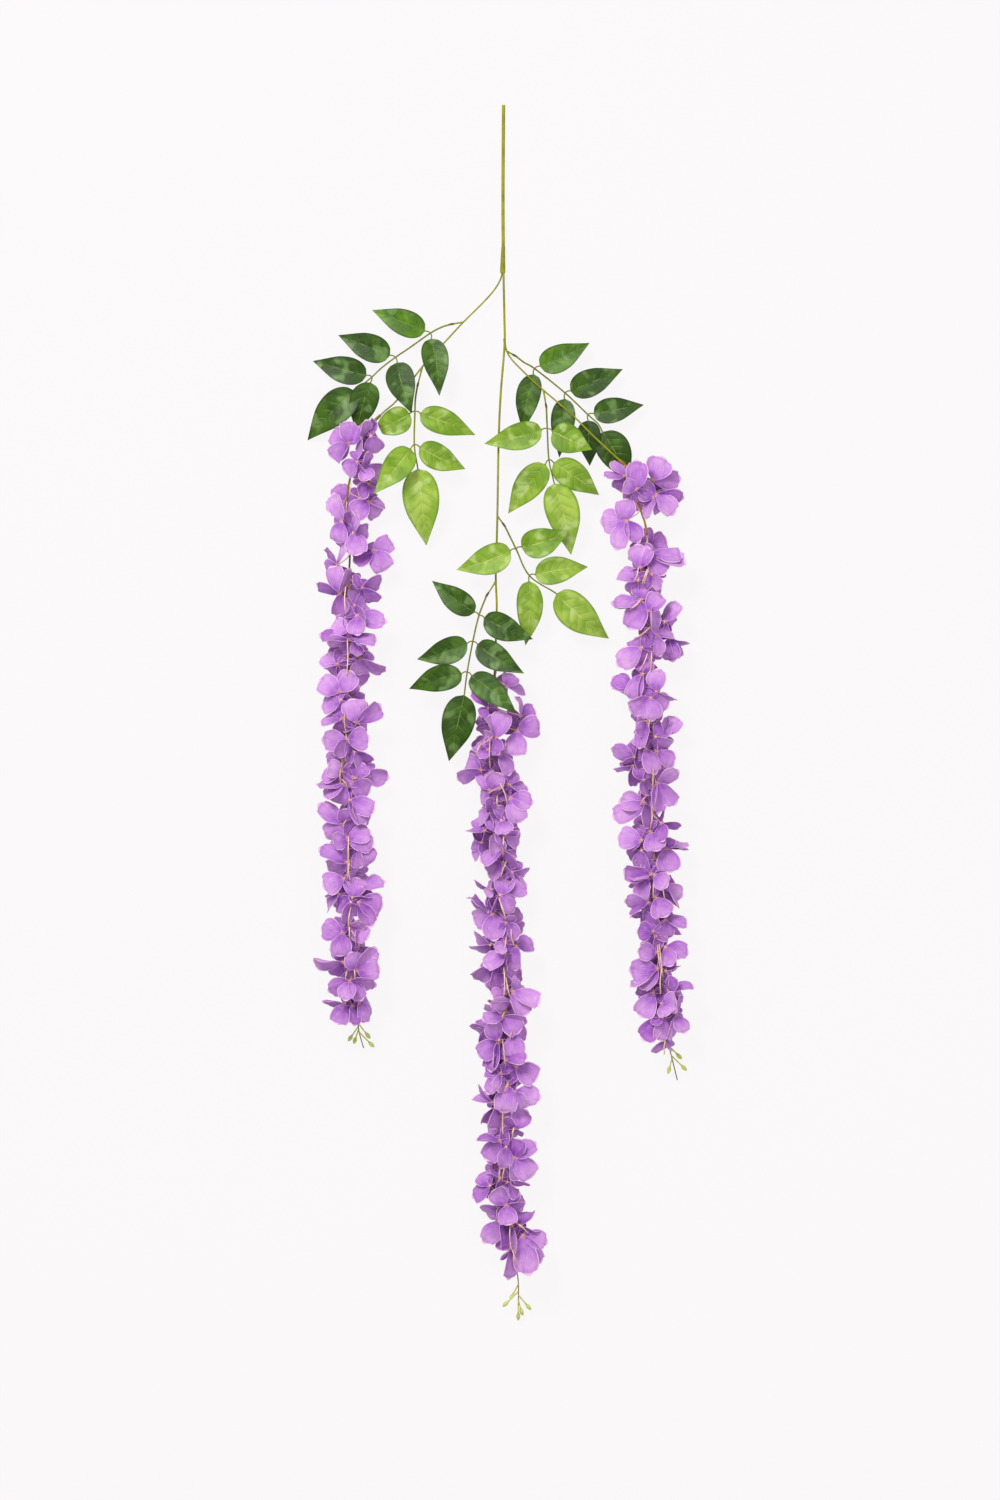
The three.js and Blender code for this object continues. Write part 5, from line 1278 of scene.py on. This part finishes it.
def loop_stalk(x, y, end_x, end_y):
    """It comes up between the petals, arches over them, and goes down again into a flower."""
    start, end = Vector((x, y, LOOP_HEIGHT)), Vector((end_x, end_y, LOOP_HEIGHT - LOOP_FALL))
    way = (end - start).normalized()
    bow = start.lerp(end, 0.5) + Vector((-way.y, way.x, 0)) * rng.uniform(-1, 1) + UP * LOOP_FALL
    root, heart = start - way * LOOP_TUCK - UP * LOOP_ROOT_DEPTH, end + way * LOOP_TUCK - UP * LOOP_END_DEPTH
    line = smooth([root, start - UP * LOOP_FALL, bow, end - UP * LOOP_FALL, heart], LOOP_STEP)
    return line, [LOOP_RADIUS] * len(line)


# %% [markdown]
# ## Flowers
# There are three kinds. A flower that shows has petals that reach to the listed tips, and hanging ones beneath,
# four in all. One on the lower side of the string hangs down like a bell. A few are squeezed flat between string
# and surface, and carry it.

# %% Flowers of one string
PETAL_COUNT = 4
QUARTER = 2 * math.pi / PETAL_COUNT
TONE_PLAY = 0.12
# Petals that hang beneath others, on the lower side or pressed flat, lie in shade: their low tones are painted
# shade.
HIDDEN_TONE = 0.35
UNDER_TONE = 0.4
UNDER_HEIGHT = 15.0
UNDER_LENGTH = 18.0
UNDER_PLAY = 4
UNDER_SLOPE = (0.35, 0.8)
PRESSED_PLAY = 3
PRESSED_TURN = 0.4
LAYER = 0.5


def dressed(points, tone):
    return copy_of(petal_unit, points, min(max(tone + rng.uniform(-TONE_PLAY, TONE_PLAY), 0), 1))


def shown_flower(rachis, x, y, petals):
    centre, side = flower_middle(rachis, x, y)
    cloth = []
    for tip_x, tip_y, width, tone in petals:
        cloth.append(dressed(petal_points(centre, *shown_petal(centre, side, tip_x, tip_y, width)), tone))
    used = [math.atan2(row[1] - y, row[0] - x) % (2 * math.pi) for row in petals]
    for angle in free_angles(used, max(PETAL_COUNT - len(petals), 0)):
        cloth.append(dressed(petal_points(centre - UP, *hidden_petal(angle)), HIDDEN_TONE))
    return cloth, centre, Vector((0.6 * side, -0.3, 1)).normalized()


def under_flower(rachis, y):
    axis = on_rachis(rachis, y)
    centre = Vector((axis.x + rng.uniform(-UNDER_PLAY, UNDER_PLAY), y, min(UNDER_HEIGHT, axis.z)))
    spin = rng.uniform(0, QUARTER)
    cloth = []
    for k in range(PETAL_COUNT):
        way, across = heading(spin + k * QUARTER, rng.uniform(*UNDER_SLOPE))
        cloth.append(dressed(petal_points(centre, way, across, UNDER_LENGTH, PETAL_WIDTH), UNDER_TONE))
    return cloth, centre, Vector((rng.uniform(-0.4, 0.4), -0.2, -1)).normalized()


def pressed_flower(rachis, y):
    """Its petals lie flat, one upon the other."""
    centre = Vector((on_rachis(rachis, y).x + rng.uniform(-PRESSED_PLAY, PRESSED_PLAY), y, LOWEST_CLOTH))
    cloth = []
    for k in range(PETAL_COUNT):
        way, across = heading(PRESSED_TURN + k * QUARTER, 0)
        height = LOWEST_CLOTH + LAYER * k
        cloth.append(dressed(petal_points(centre, way, across, UNDER_LENGTH, PETAL_WIDTH, height), UNDER_TONE))
    return cloth, centre, -UP


def string_parts(string):
    rachis = string["rachis"]
    flowers = [shown_flower(rachis, x, y, petals) for x, y, *petals in string["flowers"]]
    flowers += [under_flower(rachis, y) for y in string["under"]]
    pressed = [pressed_flower(rachis, y) for y in string["pressed"]]
    cloth = [petal for flower in flowers + pressed for petal in flower[0]]
    hearts = [copy_of(heart_unit, heart_points(centre, facing), 0.5) for _, centre, facing in flowers]
    stalks = [flower_stalk(rachis, centre, facing) for _, centre, facing in flowers + pressed]
    stalks += [loop_stalk(*row) for row in string["loops"]]
    return cloth, hearts, stalks


# %% [markdown]
# ## Strings
# A string's moulded stalk thins towards its end and begins in a collar that is pushed on the wire. A few buds on
# thin stalks close it. A bud is a short swelling of its rod, so stalk and bud are drawn in one.

# %% Rods of one string
RACHIS_STEP = 6
RACHIS_RADIUS = 1.0
RACHIS_TAPER = 0.5
COLLAR_PLACES = [-7, -6, 1, 2.5]
COLLAR_RADII = [1.0, 1.3, 1.35, 1.1]
BUD_DROP = 14
BUD_BOW = 1.5
BUD_STALK_STEP = 2
BUD_STALK_RADIUS = 0.6
BUD_PLACES = [7, 4.4, 1.8, 0]
BUD_RADII = [0.9, 1.9, 1.5, 0.35]
BUD_ROOT = 8


def rachis_rods(string):
    line = smooth(string["rachis"], RACHIS_STEP)
    radii = [RACHIS_RADIUS - RACHIS_TAPER * k / (len(line) - 1) for k in range(len(line))]
    end = Vector(string["wire"][-1])
    way = (end - Vector(string["wire"][-2])).normalized()
    return [(line, radii), ([end + way * place for place in COLLAR_PLACES], COLLAR_RADII)]


def bud_rod(rachis, tip):
    root = on_rachis(rachis, tip.y + BUD_DROP)
    way = (tip - root).normalized()
    line = smooth([root, root.lerp(tip, 0.5) + UP * BUD_BOW, tip - way * BUD_ROOT], BUD_STALK_STEP)
    bud = [tip - way * place for place in BUD_PLACES]
    return line + bud, [BUD_STALK_RADIUS] * len(line) + BUD_RADII


# %% Build the three strings
PETAL_THICKNESS = 0.4

for name, string in STRINGS.items():
    rng.seed(string["seed"])
    petals, hearts, stalks = string_parts(string)
    cloth = joined(petals)
    dress(cloth, petal_material, edge_material)
    thicken(cloth, PETAL_THICKNESS, 1)
    finish_piece(cloth, name + "_petals", "petal", name)
    beads = joined(hearts)
    dress(beads, peach)
    bpy.ops.object.shade_smooth()
    finish_piece(beads, name + "_hearts", "petal", name)
    finish_piece(tubes(stalks, 1, gold), name + "_flower_stalks", "petal", name)
    plastic = olive_rachis if name == "left_raceme" else rachis_plastic
    finish_piece(tubes(rachis_rods(string), 3, plastic), name + "_rachis", "petal", name)
    buds = tubes([bud_rod(string["rachis"], Vector(tip)) for tip in string["buds"]], 2, pale_bud)
    finish_piece(buds, name + "_buds", "petal", name)
deselect()
petal_unit.select_set(True)
heart_unit.select_set(True)
bpy.ops.object.delete()
